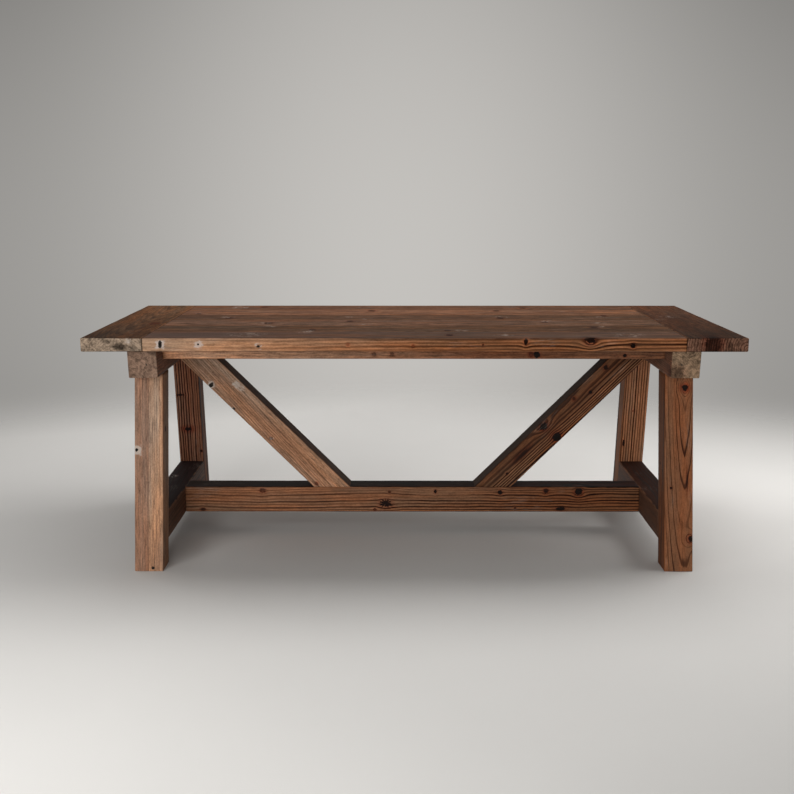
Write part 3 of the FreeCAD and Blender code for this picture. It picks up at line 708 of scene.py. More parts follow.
def oval(centre: Vector, half: Vector, stretch: float, tall: float, through: float) -> Vector:
    """The proportions of a spot on whichever face of a timber it is nearest to.

    Args:
        centre: the spot, in the timber's axes.
        half: half the timber's size.
        stretch: its size along the timber, or across it on a cut end.
        tall: its size across the face.
        through: its size into the wood.

    Returns:
        Its size along, across and through the timber.
    """
    gaps = [size - abs(off) for size, off in zip(half, centre)]
    nearest = gaps.index(min(gaps))
    return Vector(((through, stretch, tall), (stretch, through, tall), (stretch, tall, through))[nearest])


class Paint:
    """Makes the materials."""

    def __init__(self, effects: Effects) -> None:
        """Keeps the shared node groups.

        Args:
            effects: the groups.
        """
        self.effects = effects

    @staticmethod
    def blank(name: str) -> tuple[bpy.types.Material, Net, bpy.types.Node]:
        """An empty node material.

        Args:
            name: its name.

        Returns:
            The material, its network and its output node.
        """
        material = bpy.data.materials.new(name)
        material.use_nodes = True
        material.node_tree.nodes.clear()
        net = Net(material.node_tree)
        return material, net, net.node("OutputMaterial")

    def timber(
        self,
        name: str,
        axes: Axes,
        half: Vector,
        stain: Stain,
        growth: Growth,
        knots: Iterable[Knot] = (),
        marks: Iterable[Mark] = (),
    ) -> bpy.types.Material:
        """The finish of one timber, with its own knots and nail holes.

        Args:
            name: the material's name.
            axes: the timber's own directions.
            half: half its length, width and thickness.
            stain: its finish.
            growth: where it lay in the tree.
            knots: its knots.
            marks: its nail holes and pale patches.

        Returns:
            The material.
        """
        material, net, output = self.blank(name)
        turned = {"Middle": axes.middle, "Turn": axes.turn.to_euler()}
        own = net.group(self.effects.axes, turned)
        place = own.outputs["Place"]
        rings = {
            "Place": place,
            "Pith": (0.0, growth.across, growth.deep),
            "Lean": (0.0, growth.lean_across, growth.lean_deep),
            "Wander": growth.wander,
        }
        distance = net.group(self.effects.rings, rings).outputs["Distance"]
        core: object = 0.0
        glow: object = 0.0
        for knot in knots:
            centre = axes.into(knot.place)
            spot = {
                "Place": place,
                "Centre": centre,
                "Radius": knot.radius,
                "Shape": oval(centre, half, knot.stretch, knot.tall, knot.through),
                "Distance": distance,
                "Ring here": growth.distance(centre),
                "Push": knot.push,
                "Eye": knot.eye,
                "Core": core,
                "Glow": glow,
                "Core amount": knot.dark,
                "Glow amount": knot.glow,
                "Glow reach": knot.reach,
                "Soft": knot.soft,
                "Spokes": knot.spokes,
            }
            done = net.group(self.effects.knot, spot).outputs
            distance, core, glow = done["Distance"], done["Core"], done["Glow"]
        hole: object = 0.0
        bloom: object = 0.0
        for mark in marks:
            centre = axes.into(mark.place)
            spot = {"Place": place, "Centre": centre}
            if mark.radius:
                shape = oval(centre, half, mark.stretch, mark.tall, NAIL_THROUGH)
                spot |= {"Radius": mark.radius, "Shape": shape, "Core": hole, "Core amount": 1.0}
                hole = net.group(self.effects.knot, spot).outputs["Core"]
            if mark.bloom:
                spot |= {"Radius": mark.bloom_radius / 2, "Shape": (1.0, 1.0, 1.0)}
                spot |= {"Glow": bloom, "Glow amount": mark.bloom, "Glow reach": 2.0, "Core": 0.0}
                bloom = net.group(self.effects.knot, spot).outputs["Glow"]
        inputs = {
            "Place": place,
            "Facing": own.outputs["Facing"],
            "Half size": half,
            "Distance": distance,
            "Knot": core,
            "Knot glow": glow,
            "Hole": hole,
            "Bloom": bloom,
            "Shift": sum(axes.middle) * 3.7,
        }
        wood = net.group(self.effects.wood, inputs | stain.inputs()).outputs
        bump = net.node("Bump", {"Height": wood["Height"], "Distance": 0.001, "Strength": 1.0})
        surface = {
            "Base Color": wood["Colour"],
            "Roughness": wood["Roughness"],
            "Normal": bump.outputs[0],
            "Specular IOR Level": stain.specular,
        }
        shader = net.node("BsdfPrincipled", surface)
        net.feed(output.inputs["Surface"], shader.outputs[0])
        return material

    def zinc(self, name: str) -> bpy.types.Material:
        """Dull zinc plating, spangled, with brown staining where it has aged.

        Args:
            name: the material's name.

        Returns:
            The material.
        """
        material, net, output = self.blank(name)
        place = net.node("TexCoord").outputs["Object"]
        cells = net.node("TexVoronoi", {"Vector": place, "Scale": 900.0}).outputs["Color"]
        spangle = net.parts(cells)[0]
        aged = net.ease(net.cloud(place, 160.0, 4.0, 0.6), 0.5, 0.68)
        plate = net.blend(spangle, (0.42, 0.43, 0.43), (0.62, 0.62, 0.6))
        colour = net.blend(aged, plate, (0.2, 0.14, 0.09))
        rough = net.add(net.span(spangle, 0.3, 0.45), net.times(aged, 0.3))
        metal = net.span(aged, 1.0, 0.35)
        ground = net.cloud(place, 1400.0, 3.0)
        bump = net.node("Bump", {"Height": ground, "Distance": 0.00004})
        surface = {"Base Color": colour, "Roughness": rough, "Metallic": metal, "Normal": bump.outputs[0]}
        shader = net.node("BsdfPrincipled", surface)
        net.feed(output.inputs["Surface"], shader.outputs[0])
        return material


# ------------------------------------------------------------------ timbers as meshes


@dataclass(frozen=True)
class Wear:
    """How use has rounded, hollowed and dented a timber, in metres."""

    arris: float = 0.0026
    uneven: float = 0.0012
    hollow: float = 0.0005
    dent: float = 0.0022
    dent_length: float = 0.016
    dent_gap: float = 0.19


@dataclass(frozen=True)
class Corner:
    """A corner of a timber's section, and how far its arris is rounded at least."""

    across: float
    deep: float
    arris: float


@dataclass(frozen=True)
class End:
    """Where a timber ends: a plane, and whether it is a free end or runs on into a joint."""

    place: Vector
    facing: Vector
    free: bool

    def reach(self, axes: Axes, across: float, deep: float) -> float:
        """How far along the timber a line through the section meets the end.

        Args:
            axes: the timber's directions.
            across: the line's place across the timber.
            deep: its place through the timber.

        Returns:
            The distance from the timber's middle.
        """
        start = axes.middle + axes.across * across + axes.deep * deep
        return self.facing.dot(self.place - start) / self.facing.dot(axes.along)


WEAR_PITCH = 7.0
HOLLOW_PITCH = 3.1
HOLLOW_SECTION_PITCH = 13.0
END_PITCH = 90
ARC_STEPS = 4
ARRIS_FLATNESS = 0.5
SKIN = 0.00004
STATION_GAP = 0.014
SIDE_GAP = 0.014
END_ROUND = 0.0016
END_STEPS = (0.0, 0.15, 0.5, 1.0)
END_RINGS = (0.92, 0.76, 0.58, 0.38, 0.16)
END_ROUGH = 0.0007
SHARP_ANGLE = math.radians(33)
WELD = 0.00001
PIT_SIDES = 14
PIT_LEVELS = ((-0.25, 1.0), (0.0, 1.0), (0.35, 0.72), (1.0, 0.4))
PIT_RAGGED = 0.16
SPLIT_STEPS = 24
SPLIT_LIFT = 0.002


@dataclass
class Timber:
    """One sawn timber: its worn outside, cut to the joints of the node that it stands for."""

    node: str
    axes: Axes
    half: Vector
    ends: tuple[End, End]
    wear: Wear = field(default_factory=Wear)
    arrises: tuple[float, float, float, float] | None = None

    def corners(self) -> list[Corner]:
        """The section's four corners, in order round it."""
        wide, thick = self.half.y - SKIN, self.half.z - SKIN
        radii = self.arrises or (self.wear.arris,) * 4
        signs = ((-1, -1), (1, -1), (1, 1), (-1, 1))
        return [Corner(a * wide, d * thick, r) for (a, d), r in zip(signs, radii)]

    def seed(self) -> float:
        """A number of the timber's own, for noise that no other timber has."""
        return sum(ord(letter) * (place + 1) for place, letter in enumerate(self.node)) * 0.137

    def radius(self, along: float, index: int, least: float) -> float:
        """How far an arris is rounded at one place: more where it is worn or dented.

        Args:
            along: the place along the timber.
            index: the corner's number.
            least: the corner's smallest rounding.

        Returns:
            The radius.
        """
        seed = self.seed() + index * 11.3
        worn = max(0.0, noise.noise(Vector((along * WEAR_PITCH, seed, 0.3)))) * self.wear.uneven * 2
        slot = math.floor(along / self.wear.dent_gap)
        shift = noise.noise(Vector((slot * 3.31, seed, 7.7)))
        size = max(0.0, noise.noise(Vector((slot * 5.17, seed, 2.9))))
        middle = (slot + 0.5 + 0.4 * shift) * self.wear.dent_gap
        off = (along - middle) / (self.wear.dent_length * (0.5 + size))
        dent = self.wear.dent * 2 * size * math.exp(-off * off)
        share = min(1.0, least / self.wear.arris)
        return least + (worn + dent) * share

    def section(self, along: float) -> list[tuple[float, float]]:
        """The worn outline at one place along the timber.

        Args:
            along: the place.

        Returns:
            Points across and through the timber, in order, always as many.
        """
        corners = self.corners()
        arcs = []
        for index, corner in enumerate(corners):
            before = corners[index - 1]
            after = corners[(index + 1) % len(corners)]
            here = Vector((corner.across, corner.deep))
            arriving = (here - Vector((before.across, before.deep))).normalized()
            leaving = (Vector((after.across, after.deep)) - here).normalized()
            radius = self.radius(along, index, corner.arris)
            start, stop = here - arriving * radius, here + leaving * radius
            centre = start + leaving * radius
            arc = []
            for step in range(ARC_STEPS + 1):
                share = step / ARC_STEPS
                angle = share * math.pi / 2
                round_point = centre + (arriving * math.sin(angle) - leaving * math.cos(angle)) * radius
                arc.append(round_point.lerp(start.lerp(stop, share), ARRIS_FLATNESS))
            arcs.append(arc)
        points = []
        for index, arc in enumerate(arcs):
            following = arcs[(index + 1) % len(arcs)]
            first, second = corners[index], corners[(index + 1) % len(corners)]
            side = math.hypot(second.across - first.across, second.deep - first.deep)
            points.extend(arc)
            steps = max(1, round(side / SIDE_GAP))
            points.extend(arc[-1].lerp(following[0], step / steps) for step in range(1, steps))
        return [self.hollowed(along, point) for point in points]

    def hollowed(self, along: float, point: Vector) -> tuple[float, float]:
        """Draws a point in, where the face has shrunk or been planed hollow.

        Args:
            along: the place along the timber.
            point: the point across and through it.

        Returns:
            The point drawn in.
        """
        seed = self.seed()
        pitch = HOLLOW_SECTION_PITCH
        spot = Vector((along * HOLLOW_PITCH + seed, point.x * pitch, point.y * pitch))
        low = 0.5 + 0.5 * noise.noise(spot)
        other = 0.5 + 0.5 * noise.noise(spot + Vector((31.7, 5.3, 1.9)))
        across = point.x * (1 - self.wear.hollow * low / self.half.y)
        deep = point.y * (1 - self.wear.hollow * other / self.half.z)
        return across, deep

    def stations(self) -> list[tuple[float, float, float]]:
        """The sections from end to end.

        Returns:
            For each, its share of the length, the size of its outline, and how much of a sawn end's
            roughness it has, below nought at the first end.
        """
        length = self.half.x * 2
        rows = []
        if self.ends[0].free:
            rows += [(0.0, size, -1.0) for size in reversed(END_RINGS)]
        steps = round(length / STATION_GAP)
        edge = END_ROUND / length
        shares = [step / steps for step in range(steps + 1)]
        if self.ends[0].free:
            shares = [edge * part for part in END_STEPS] + shares[1:]
        if self.ends[1].free:
            shares = shares[:-1] + [1 - edge * part for part in reversed(END_STEPS)]
        rows += [(share, 1.0, 0.0) for share in shares]
        if self.ends[1].free:
            rows += [(1.0, size, 1.0) for size in END_RINGS]
        return rows

    def drawn_in(self, share: float) -> float:
        """How far the outline is drawn in near a free end, where its rim is rounded."""
        length = self.half.x * 2
        least = END_ROUND
        for end, off in zip(self.ends, (share * length, (1 - share) * length)):
            if end.free and off < END_ROUND:
                least = min(least, math.sqrt(max(0.0, END_ROUND**2 - (END_ROUND - off) ** 2)))
        return END_ROUND - least

    def outside(self) -> bpy.types.Mesh:
        """The worn outside as a closed mesh, which runs on past the shoulders of its joints.

        Returns:
            The mesh.
        """
        mesh = bmesh.new()
        rings = []
        for share, size, rough in self.stations():
            along = (share - 0.5) * self.half.x * 2
            inset = self.drawn_in(share)
            ring = []
            for across, deep in self.section(along):
                across *= (1 - inset / self.half.y) * size
                deep *= (1 - inset / self.half.z) * size
                first = self.ends[0].reach(self.axes, across, deep)
                last = self.ends[1].reach(self.axes, across, deep)
                place = first + (last - first) * share
                if rough:
                    spot = Vector((across * END_PITCH, deep * END_PITCH, self.seed() + rough))
                    place -= rough * END_ROUGH * (0.5 + 0.5 * noise.noise(spot))
                ring.append(mesh.verts.new(self.axes.out(Vector((place, across, deep)))))
            rings.append(ring)
        return skinned(mesh, rings, self.node + "_outside")

    def joinery(self) -> bpy.types.Mesh:
        """The node's own shape with its seams welded, for its tenons, mortises, grooves and holes.

        Returns:
            The mesh.
        """
        mesh = bmesh.new()
        mesh.from_mesh(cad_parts[self.node].data)
        bmesh.ops.remove_doubles(mesh, verts=mesh.verts, dist=WELD)
        return finished(mesh, self.node + "_joinery")

    def build(self, cutters: Sequence[bpy.types.Mesh] = ()) -> bpy.types.Object:
        """Makes the piece.

        Args:
            cutters: closed meshes that are cut out of it, such as nail holes.

        Returns:
            The piece, riding on the table and standing for its node.
        """
        piece = linked(self.node + "_worn", self.outside())
        tools = [("INTERSECT", self.joinery())] + [("DIFFERENCE", cutter) for cutter in cutters]
        helpers = []
        for operation, shape in tools:
            helper = linked(shape.name + "_tool", shape)
            cut = piece.modifiers.new(operation, "BOOLEAN")
            cut.operation = operation
            cut.solver = "EXACT"
            cut.object = helper
            helpers.append(helper)
        baked = bpy.data.meshes.new_from_object(piece.evaluated_get(bpy.context.evaluated_depsgraph_get()))
        piece.modifiers.clear()
        worn, piece.data = piece.data, baked
        bpy.data.meshes.remove(worn)
        for helper in helpers:
            shape = helper.data
            bpy.data.objects.remove(helper)
            bpy.data.meshes.remove(shape)
        baked.name = piece.name
        baked.polygons.foreach_set("use_smooth", [True] * len(baked.polygons))
        baked.set_sharp_from_angle(angle=SHARP_ANGLE)
        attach(piece, BODY)
        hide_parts(self.node)
        return piece


def finished(mesh: bmesh.types.BMesh, name: str) -> bpy.types.Mesh:
    """Turns a mesh under construction into data.

    Args:
        mesh: the mesh, which is freed.
        name: the data's name.

    Returns:
        The data, with its faces turned outward.
    """
    bmesh.ops.recalc_face_normals(mesh, faces=mesh.faces)
    data = bpy.data.meshes.new(name)
    mesh.to_mesh(data)
    mesh.free()
    return data


def skinned(
    mesh: bmesh.types.BMesh, rings: Sequence[Sequence[bmesh.types.BMVert]], name: str
) -> bpy.types.Mesh:
    """Skins a row of rings and closes both of its ends.

    Args:
        mesh: the mesh that holds the rings, which is freed.
        rings: the rings in order, all with as many points.
        name: the data's name.

    Returns:
        The closed mesh.
    """
    mesh.faces.new(rings[0])
    for before, after in zip(rings, rings[1:]):
        for index in range(len(before)):
            following = (index + 1) % len(before)
            mesh.faces.new((before[index], before[following], after[following], after[index]))
    mesh.faces.new(rings[-1])
    return finished(mesh, name)


def linked(name: str, data: bpy.types.ID) -> bpy.types.Object:
    """Puts data into the scene as an object."""
    made = bpy.data.objects.new(name, data)
    bpy.context.scene.collection.objects.link(made)
    return made


def pit(centre: Vector, inward: Vector, flat: Vector, upright: Vector, depth: float) -> bpy.types.Mesh:
    """A tapered oval plug, for the hole that a nail leaves.

    Args:
        centre: where it meets the surface.
        inward: the direction into the wood.
        flat: half its width at the surface, along the timber.
        upright: half its height, across the timber.
        depth: how deep it goes.

    Returns:
        The closed mesh.
    """
    mesh = bmesh.new()
    rings = []
    for level, size in PIT_LEVELS:
        ring = []
        for step in range(PIT_SIDES):
            angle = 2 * math.pi * step / PIT_SIDES
            spot = Vector((math.cos(angle), math.sin(angle), centre.x * 40))
            ragged = 1 + PIT_RAGGED * noise.noise(spot)
            off = upright * math.sin(angle) + flat * math.cos(angle)
            ring.append(mesh.verts.new(centre + inward * depth * level + off * size * ragged))
        rings.append(ring)
    return skinned(mesh, rings, "nail_pit")


def split(start: Vector, end: Vector, inward: Vector, width: float, depth: float) -> bpy.types.Mesh:
    """A long wedge that narrows to both ends, for a crack that opened as the wood dried.

    Args:
        start: one end on the surface.
        end: the other end on the surface.
        inward: the direction into the wood.
        width: its width at its widest.
        depth: its depth at its deepest.

    Returns:
        The closed mesh.
    """
    mesh = bmesh.new()
    run = end - start
    sideways = run.cross(inward).normalized()
    lift = inward * -SPLIT_LIFT
    rings = []
    for step in range(SPLIT_STEPS + 1):
        share = step / SPLIT_STEPS
        open_by = max(0.06, math.sin(math.pi * share) ** 0.7)
        wobble = noise.noise(Vector((share * 5, start.x * 9, start.z * 9))) * width * 1.2
        middle = start + run * share + sideways * wobble
        half = sideways * width / 2 * open_by * (1 + 0.4 * noise.noise(Vector((share * 13, start.y, 1.0))))
        tip = middle + inward * depth * open_by
        rings.append([mesh.verts.new(point) for point in (middle - half + lift, middle + half + lift, tip)])
    return skinned(mesh, rings, "split")


# ------------------------------------------------------------------ the table's parts

TABLE_LOW, TABLE_HIGH = cad_box
TABLE_TOP = TABLE_HIGH.z
NAIL_DEPTH = 0.011
PIT_SIZE = 0.85
NAIL_THROUGH = 4.0
JOINT_RUN = 0.012
# Painted shade: the tint of the legs' inner sides, which face in under the table.
INNER_SHADE: Colour = (0.62, 0.56, 0.52)


def middle_of(node: str) -> Vector:
    """The middle of a node's box."""
    low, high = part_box(node)
    return (low + high) / 2


def node_half(node: str, axes: Axes) -> Vector:
    """Half of a node's size along a timber's own directions."""
    low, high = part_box(node)
    return Vector(abs(value) for value in axes.turn.transposed() @ ((high - low) / 2))


def squared(node: str, along: Vector, across: Vector, free: bool = False, **worn: object) -> Timber:
    """A level timber with square ends.

    Args:
        node: the node that it stands for.
        along: the direction of its grain.
        across: the direction across its face.
        free: whether its ends show, rather than run on into joints.
        worn: the timber's own wear or arrises.

    Returns:
        The timber.
    """
    axes = Axes(middle_of(node), along, across)
    half = node_half(node, axes)
    half.x += -SKIN if free else JOINT_RUN
    run = along * half.x
    ends = (End(axes.middle - run, -along, free), End(axes.middle + run, along, free))
    return Timber(node, axes, half, ends, **worn)


SALVAGED = Stain(
    heart=(0.17, 0.075, 0.038),
    sap=(0.24, 0.12, 0.065),
    patch=(0.075, 0.036, 0.022),
    end=(0.15, 0.098, 0.066),
)


@dataclass
class Piece:
    """A timber together with how it is dressed."""

    timber: Timber
    stain: Stain
    growth: Growth
    slot: Slot
    knots: tuple[Knot, ...] = ()
    marks: tuple[Mark, ...] = ()
    splits: tuple[bpy.types.Mesh, ...] = ()

    def nail_pits(self) -> list[bpy.types.Mesh]:
        """The holes of those nails that are bored into the mesh.

        Returns:
            One closed mesh for each.
        """
        made = []
        for mark in self.marks:
            if not mark.bored:
                continue
            axes = self.timber.axes
            place = axes.into(mark.place)
            face, side = (axes.deep, axes.across), (place.z, place.y)
            if self.timber.half.y - abs(place.y) < self.timber.half.z - abs(place.z):
                face, side = face[::-1], side[::-1]
            inward = face[0] * -math.copysign(1, side[0])
            upright = face[1] * mark.tall * mark.radius
            flat = axes.along * mark.stretch * mark.radius
            made.append(pit(Vector(mark.place), inward, flat * PIT_SIZE, upright * PIT_SIZE, NAIL_DEPTH))
        return made

    def make(self, paint: Paint) -> bpy.types.Object:
        """Builds and dresses the piece.

        Args:
            paint: the maker of materials.

        Returns:
            The finished piece.
        """
        timber = self.timber
        piece = timber.build(self.nail_pits() + list(self.splits))
        material = paint.timber(
            timber.node + "_finish", timber.axes, timber.half, self.stain, self.growth, self.knots, self.marks
        )
        piece.data.materials.clear()
        piece.data.materials.append(material)
        LOG.info("%s: %d faces", piece.name, len(piece.data.polygons))
        return piece


@dataclass
class Top:
    """The planks, their breadboard ends, and the splines and pegs inside."""

    seam_arris: float = 0.0012
    edge_arris: float = 0.0024
    shoulder: float = 0.871
    board_fineness: tuple[float, float, float] = (1.0, 0.5, 1.0)
    names: tuple[str, ...] = (
        "plank_front_edge",
        "plank_front_middle",
        "plank_front_inner",
        "plank_back_inner",
        "plank_back_middle",
        "plank_back_edge",
    )

    def plank_stain(self, index: int) -> Stain:
        """The finish of one plank: no two took the stain alike.

        Args:
            index: the plank's number from the front.

        Returns:
            The finish.
        """
        base = replace(SALVAGED, ring_width=0.011, ring_depth=0.5, scuffs=0.3, patchiness=0.6, fibre=1.5)
        base = replace(base, roughness=0.72, specular=0.02, bloom_colour=(0.30, 0.235, 0.195))
        base = replace(base, dirt_from=self.shoulder, fineness=(1.0, 0.4, 0.8), speckle=(75.0, 32.0, 220.0))
        # Darker towards the right end: partly the boards' own tone, partly painted light that falls off to
        # the right.
        base = replace(base, tone_from=0.45, tone_to=0.85, high_tone=(0.83, 0.83, 0.80))
        return (
            replace(
                base,
                heart=(0.100, 0.054, 0.037),
                sap=(0.112, 0.064, 0.042),
                patch=(0.060, 0.039, 0.032),
                ring_depth=0.6,
                late_wood=0.35,
                scuffs=0.12,
                high_tone=(0.88, 0.88, 0.83),
                low_end_depth=0.12,
                ring_width=0.0105,
                other_depth=2.0,
                fibre=0.85,
                tone_from=0.08,
                tone_to=0.53,
                # The front edge is painted far lighter than the top face, most at the left end, with whiter
                # pale marks: partly the top's own darker stain, partly painted light on the lit front.
                other_side=(0.0, -1.0, 0.0),
                other_low=(3.95, 4.0, 3.25),
                other_high=(1.95, 1.40, 0.83),
                other_bloom=(1.8, 1.95, 2.1),
            ),
            replace(
                base,
                heart=(0.085, 0.043, 0.024),
                patch=(0.050, 0.030, 0.020),
                high_tone=(0.76, 0.75, 0.73),
            ),
            replace(base, heart=(0.127, 0.062, 0.036), patch=(0.070, 0.042, 0.030)),
            replace(base, heart=(0.097, 0.048, 0.027), patch=(0.060, 0.033, 0.023)),
            replace(base, heart=(0.183, 0.083, 0.045), patch=(0.116, 0.056, 0.034)),
            replace(base, heart=(0.133, 0.060, 0.033), patch=(0.084, 0.045, 0.029)),
        )[index]

    def plank_growth(self, index: int) -> Growth:
        """Where one plank lay in its tree.

        Args:
            index: the plank's number from the front.

        Returns:
            The growth.
        """
        return (
            Growth(across=-0.02, deep=-0.15, lean_deep=0.006, wander=0.016),
            Growth(across=0.03, deep=-0.07, lean_deep=0.03, wander=0.03),
            Growth(across=-0.05, deep=-0.11, lean_deep=-0.03, wander=0.03),
            Growth(across=0.11, deep=-0.06, lean_across=0.02, wander=0.03),
            Growth(across=0.01, deep=-0.12, lean_deep=0.035, wander=0.035),
            Growth(across=-0.04, deep=-0.08, lean_deep=-0.028, wander=0.03),
        )[index]

    def plank_knots(self, index: int) -> tuple[Knot, ...]:
        """One plank's knots.

        Args:
            index: the plank's number from the front.

        Returns:
            The knots.
        """
        front, top = TABLE_LOW.y, TABLE_TOP
        return (
            (
                Knot((-0.212, front, 0.765), 0.0045, dark=0.25, glow=0.7),
                Knot((-0.004, front, 0.762), 0.0042, dark=0.55, glow=0.7),
                Knot((0.219, front, 0.765), 0.0035, dark=0.7, glow=0.5),
                Knot((0.356, front, 0.776), 0.0065, push=1.3, tall=1.5, glow=0.6),
                Knot((0.562, front, 0.785), 0.0135, push=2.6, stretch=1.1, through=1.2, glow=0.9, spokes=0.9),
                Knot((0.698, front, 0.762), 0.0072, push=1.2, glow=0.6),
                Knot((0.115, -0.42, top), 0.011, dark=0.8, tall=1.5),
            ),
            (
                Knot((-0.340, -0.290, top), 0.012, dark=0.7, eye=1.5, tall=1.5),
                Knot((0.115, -0.300, top), 0.011, dark=0.7, eye=1.2, tall=1.5),
                Knot((0.62, -0.22, top), 0.011, dark=0.7, eye=1.2, tall=1.5),
            ),
            (
                Knot((-0.225, -0.040, top), 0.012, dark=0.8, eye=1.4, tall=1.5),
                Knot((-0.509, -0.096, top), 0.014, dark=0.8, eye=1.5, tall=1.5),
                Knot((0.47, -0.07, top), 0.011, dark=0.7, eye=1.2, tall=1.5),
            ),
            (
                Knot((0.321, 0.058, top), 0.012, dark=0.8, eye=1.4, tall=1.5),
                Knot((-0.669, 0.060, top), 0.014, dark=0.5, eye=1.5, tall=1.5),
                Knot((0.713, 0.130, top), 0.011, dark=0.7, eye=1.2, tall=1.5),
            ),
            (
                Knot((-0.155, 0.300, top), 0.014, dark=0.8, eye=1.5, tall=1.5),
                Knot((-0.810, 0.200, top), 0.009, dark=0.9, eye=1.0, tall=1.5),
                Knot((0.327, 0.300, top), 0.012, dark=0.8, eye=1.3, tall=1.5),
            ),
            (
                Knot((-0.586, 0.43, top), 0.014, dark=0.5, eye=1.5, tall=1.5),
                Knot((0.44, 0.40, top), 0.012, dark=0.7, eye=1.4, tall=1.5),
            ),
        )[index]

    def plank_marks(self, index: int) -> tuple[Mark, ...]:
        """One plank's nail holes and pale rubbed patches.

        Args:
            index: the plank's number from the front.

        Returns:
            The marks.
        """
        front, top = TABLE_LOW.y, TABLE_TOP

        def rubbed(x: float, y: float, bloom: float, size: float = 0.034) -> Mark:
            """A patch rubbed pale."""
            return Mark((x, y, top), bloom=bloom, bloom_radius=size)

        return (
            (
                Mark((-0.812, front, 0.7660), 0.0056, tall=2.0, bloom=1.0, bloom_radius=0.023, bored=True),
                Mark((-0.690, front, 0.7665), 0.0028, bloom=0.95, bloom_radius=0.021, bored=True),
                Mark((-0.498, front, 0.7605), 0.0036, stretch=1.3, bloom=0.7, bloom_radius=0.016, bored=True),
                rubbed(-0.36, -0.35, 0.78),
                rubbed(0.29, -0.42, 0.78, 0.04),
                rubbed(-0.55, -0.40, 0.45, 0.09),
                rubbed(0.70, -0.42, 0.45, 0.07),
            ),
            (
                rubbed(-0.34, -0.325, 0.75),
                rubbed(0.16, -0.30, 0.45),
                rubbed(-0.50, -0.19, 0.6),
                rubbed(0.65, -0.20, 0.45),
            ),
            (
                rubbed(-0.53, -0.10, 0.675),
                rubbed(-0.17, -0.12, 0.6),
                rubbed(0.48, -0.04, 0.675),
                rubbed(0.66, -0.09, 0.525),
            ),
            (
                rubbed(-0.68, 0.09, 0.78),
                rubbed(-0.24, 0.09, 0.525),
                rubbed(0.33, 0.09, 0.75),
                rubbed(0.69, 0.09, 0.75),
                rubbed(-0.17, 0.03, 0.45),
            ),
            (
                rubbed(-0.81, 0.22, 0.6, 0.03),
                rubbed(0.57, 0.28, 0.375),
            ),
            (
                rubbed(-0.69, 0.43, 0.78, 0.06),
                rubbed(-0.19, 0.42, 0.525),
                rubbed(0.40, 0.45, 0.375),
            ),
        )[index]

    def arrises(self, low_edge: bool, high_edge: bool) -> tuple[float, float, float, float]:
        """The rounding of a board's corners.

        Args:
            low_edge: whether its lower side across is an edge of the table, rather than a seam.
            high_edge: the same of its higher side.

        Returns:
            The rounding, in the order of the corners.
        """
        low, high = (self.edge_arris if outer else self.seam_arris for outer in (low_edge, high_edge))
        return low, high, high, low

    def plank(self, index: int) -> Piece:
        """One plank.

        Args:
            index: its number from the front.

        Returns:
            The plank, ready to make.
        """
        front, back = index == 0, index == len(self.names) - 1
        return Piece(
            squared(self.names[index], X, Y, arrises=self.arrises(front, back)),
            self.plank_stain(index),
            self.plank_growth(index),
            Slot.TOP,
            self.plank_knots(index),
            self.plank_marks(index),
        )

    def breadboard(self, side: Side) -> Piece:
        """One breadboard end.

        Args:
            side: which end of the table it caps.

        Returns:
            The board, ready to make.
        """
        # Across the board is -X, so its outer edge comes first on the right and last on the left.
        right = side is Side.RIGHT
        arrises = self.arrises(right, not right)
        timber = squared(f"breadboard_{side.word}", Y, -X, free=True, arrises=arrises)
        front, top = TABLE_LOW.y, TABLE_TOP
        base = replace(SALVAGED, ring_depth=0.5, scuffs=0.1, roughness=0.72, specular=0.02)
        base = replace(base, fineness=self.board_fineness)
        if right:
            stain = replace(base, heart=(0.040, 0.019, 0.0103), patch=(0.018, 0.0095, 0.006))
            stain = replace(stain, end=(0.172, 0.088, 0.057), end_depth=1.0, end_cracks=0.0)
            stain = replace(stain, patchiness=0.5, ring_width=0.0078)
            stain = replace(stain, bloom_colour=(0.2, 0.15, 0.13), speckle=(32.0, 90.0, 220.0), fibre=1.5)
            # Darker at the front end and lighter towards the back: partly the board's own tone, partly
            # painted light.
            stain = replace(stain, low_tone=(0.76, 0.80, 0.87), high_tone=(1.85, 1.60, 1.52))
            growth = Growth(across=-0.085, deep=-0.012, lean_across=0.02, wander=0.018)
            knots = (
                Knot((0.953, front, 0.767), 0.0155, push=0.0, dark=0.7, glow=0.8, stretch=1.5, tall=1.7),
            )
            marks = (
                Mark((0.95, 0.10, top), bloom=0.6, bloom_radius=0.045),
                Mark((0.90, 0.02, top), bloom=0.4, bloom_radius=0.03),
            )
        else:
            stain = replace(base, heart=(0.076, 0.037, 0.0195), patch=(0.034, 0.0185, 0.012))
            stain = replace(stain, end=(0.292, 0.216, 0.154), end_depth=0.3, end_cracks=0.1)
            # Darker at the front end and lighter towards the back: partly the board's own tone, partly
            # painted light.
            stain = replace(stain, low_tone=(0.60, 0.62, 0.65), high_tone=(1.84, 1.70, 1.50))
            growth = Growth(across=-0.02, deep=-0.05, lean_deep=0.06, wander=0.03)
            knots = (
                Knot((-0.91, -0.11, top), 0.012, dark=0.1, glow=0.7, eye=2.0, stretch=2.0),
                Knot((-0.942, front, 0.758), 0.0100, push=0.0, dark=0.85, glow=0.0, stretch=2.2, soft=0.5),
                Knot((-0.985, front, 0.776), 0.0060, push=0.0, dark=0.5, glow=0.0, stretch=2.5, soft=0.6),
            )
            marks = (Mark((-0.914, front, 0.776), bloom=0.9, bloom_radius=0.014),)
        return Piece(timber, stain, growth, Slot.TOP, knots, marks)

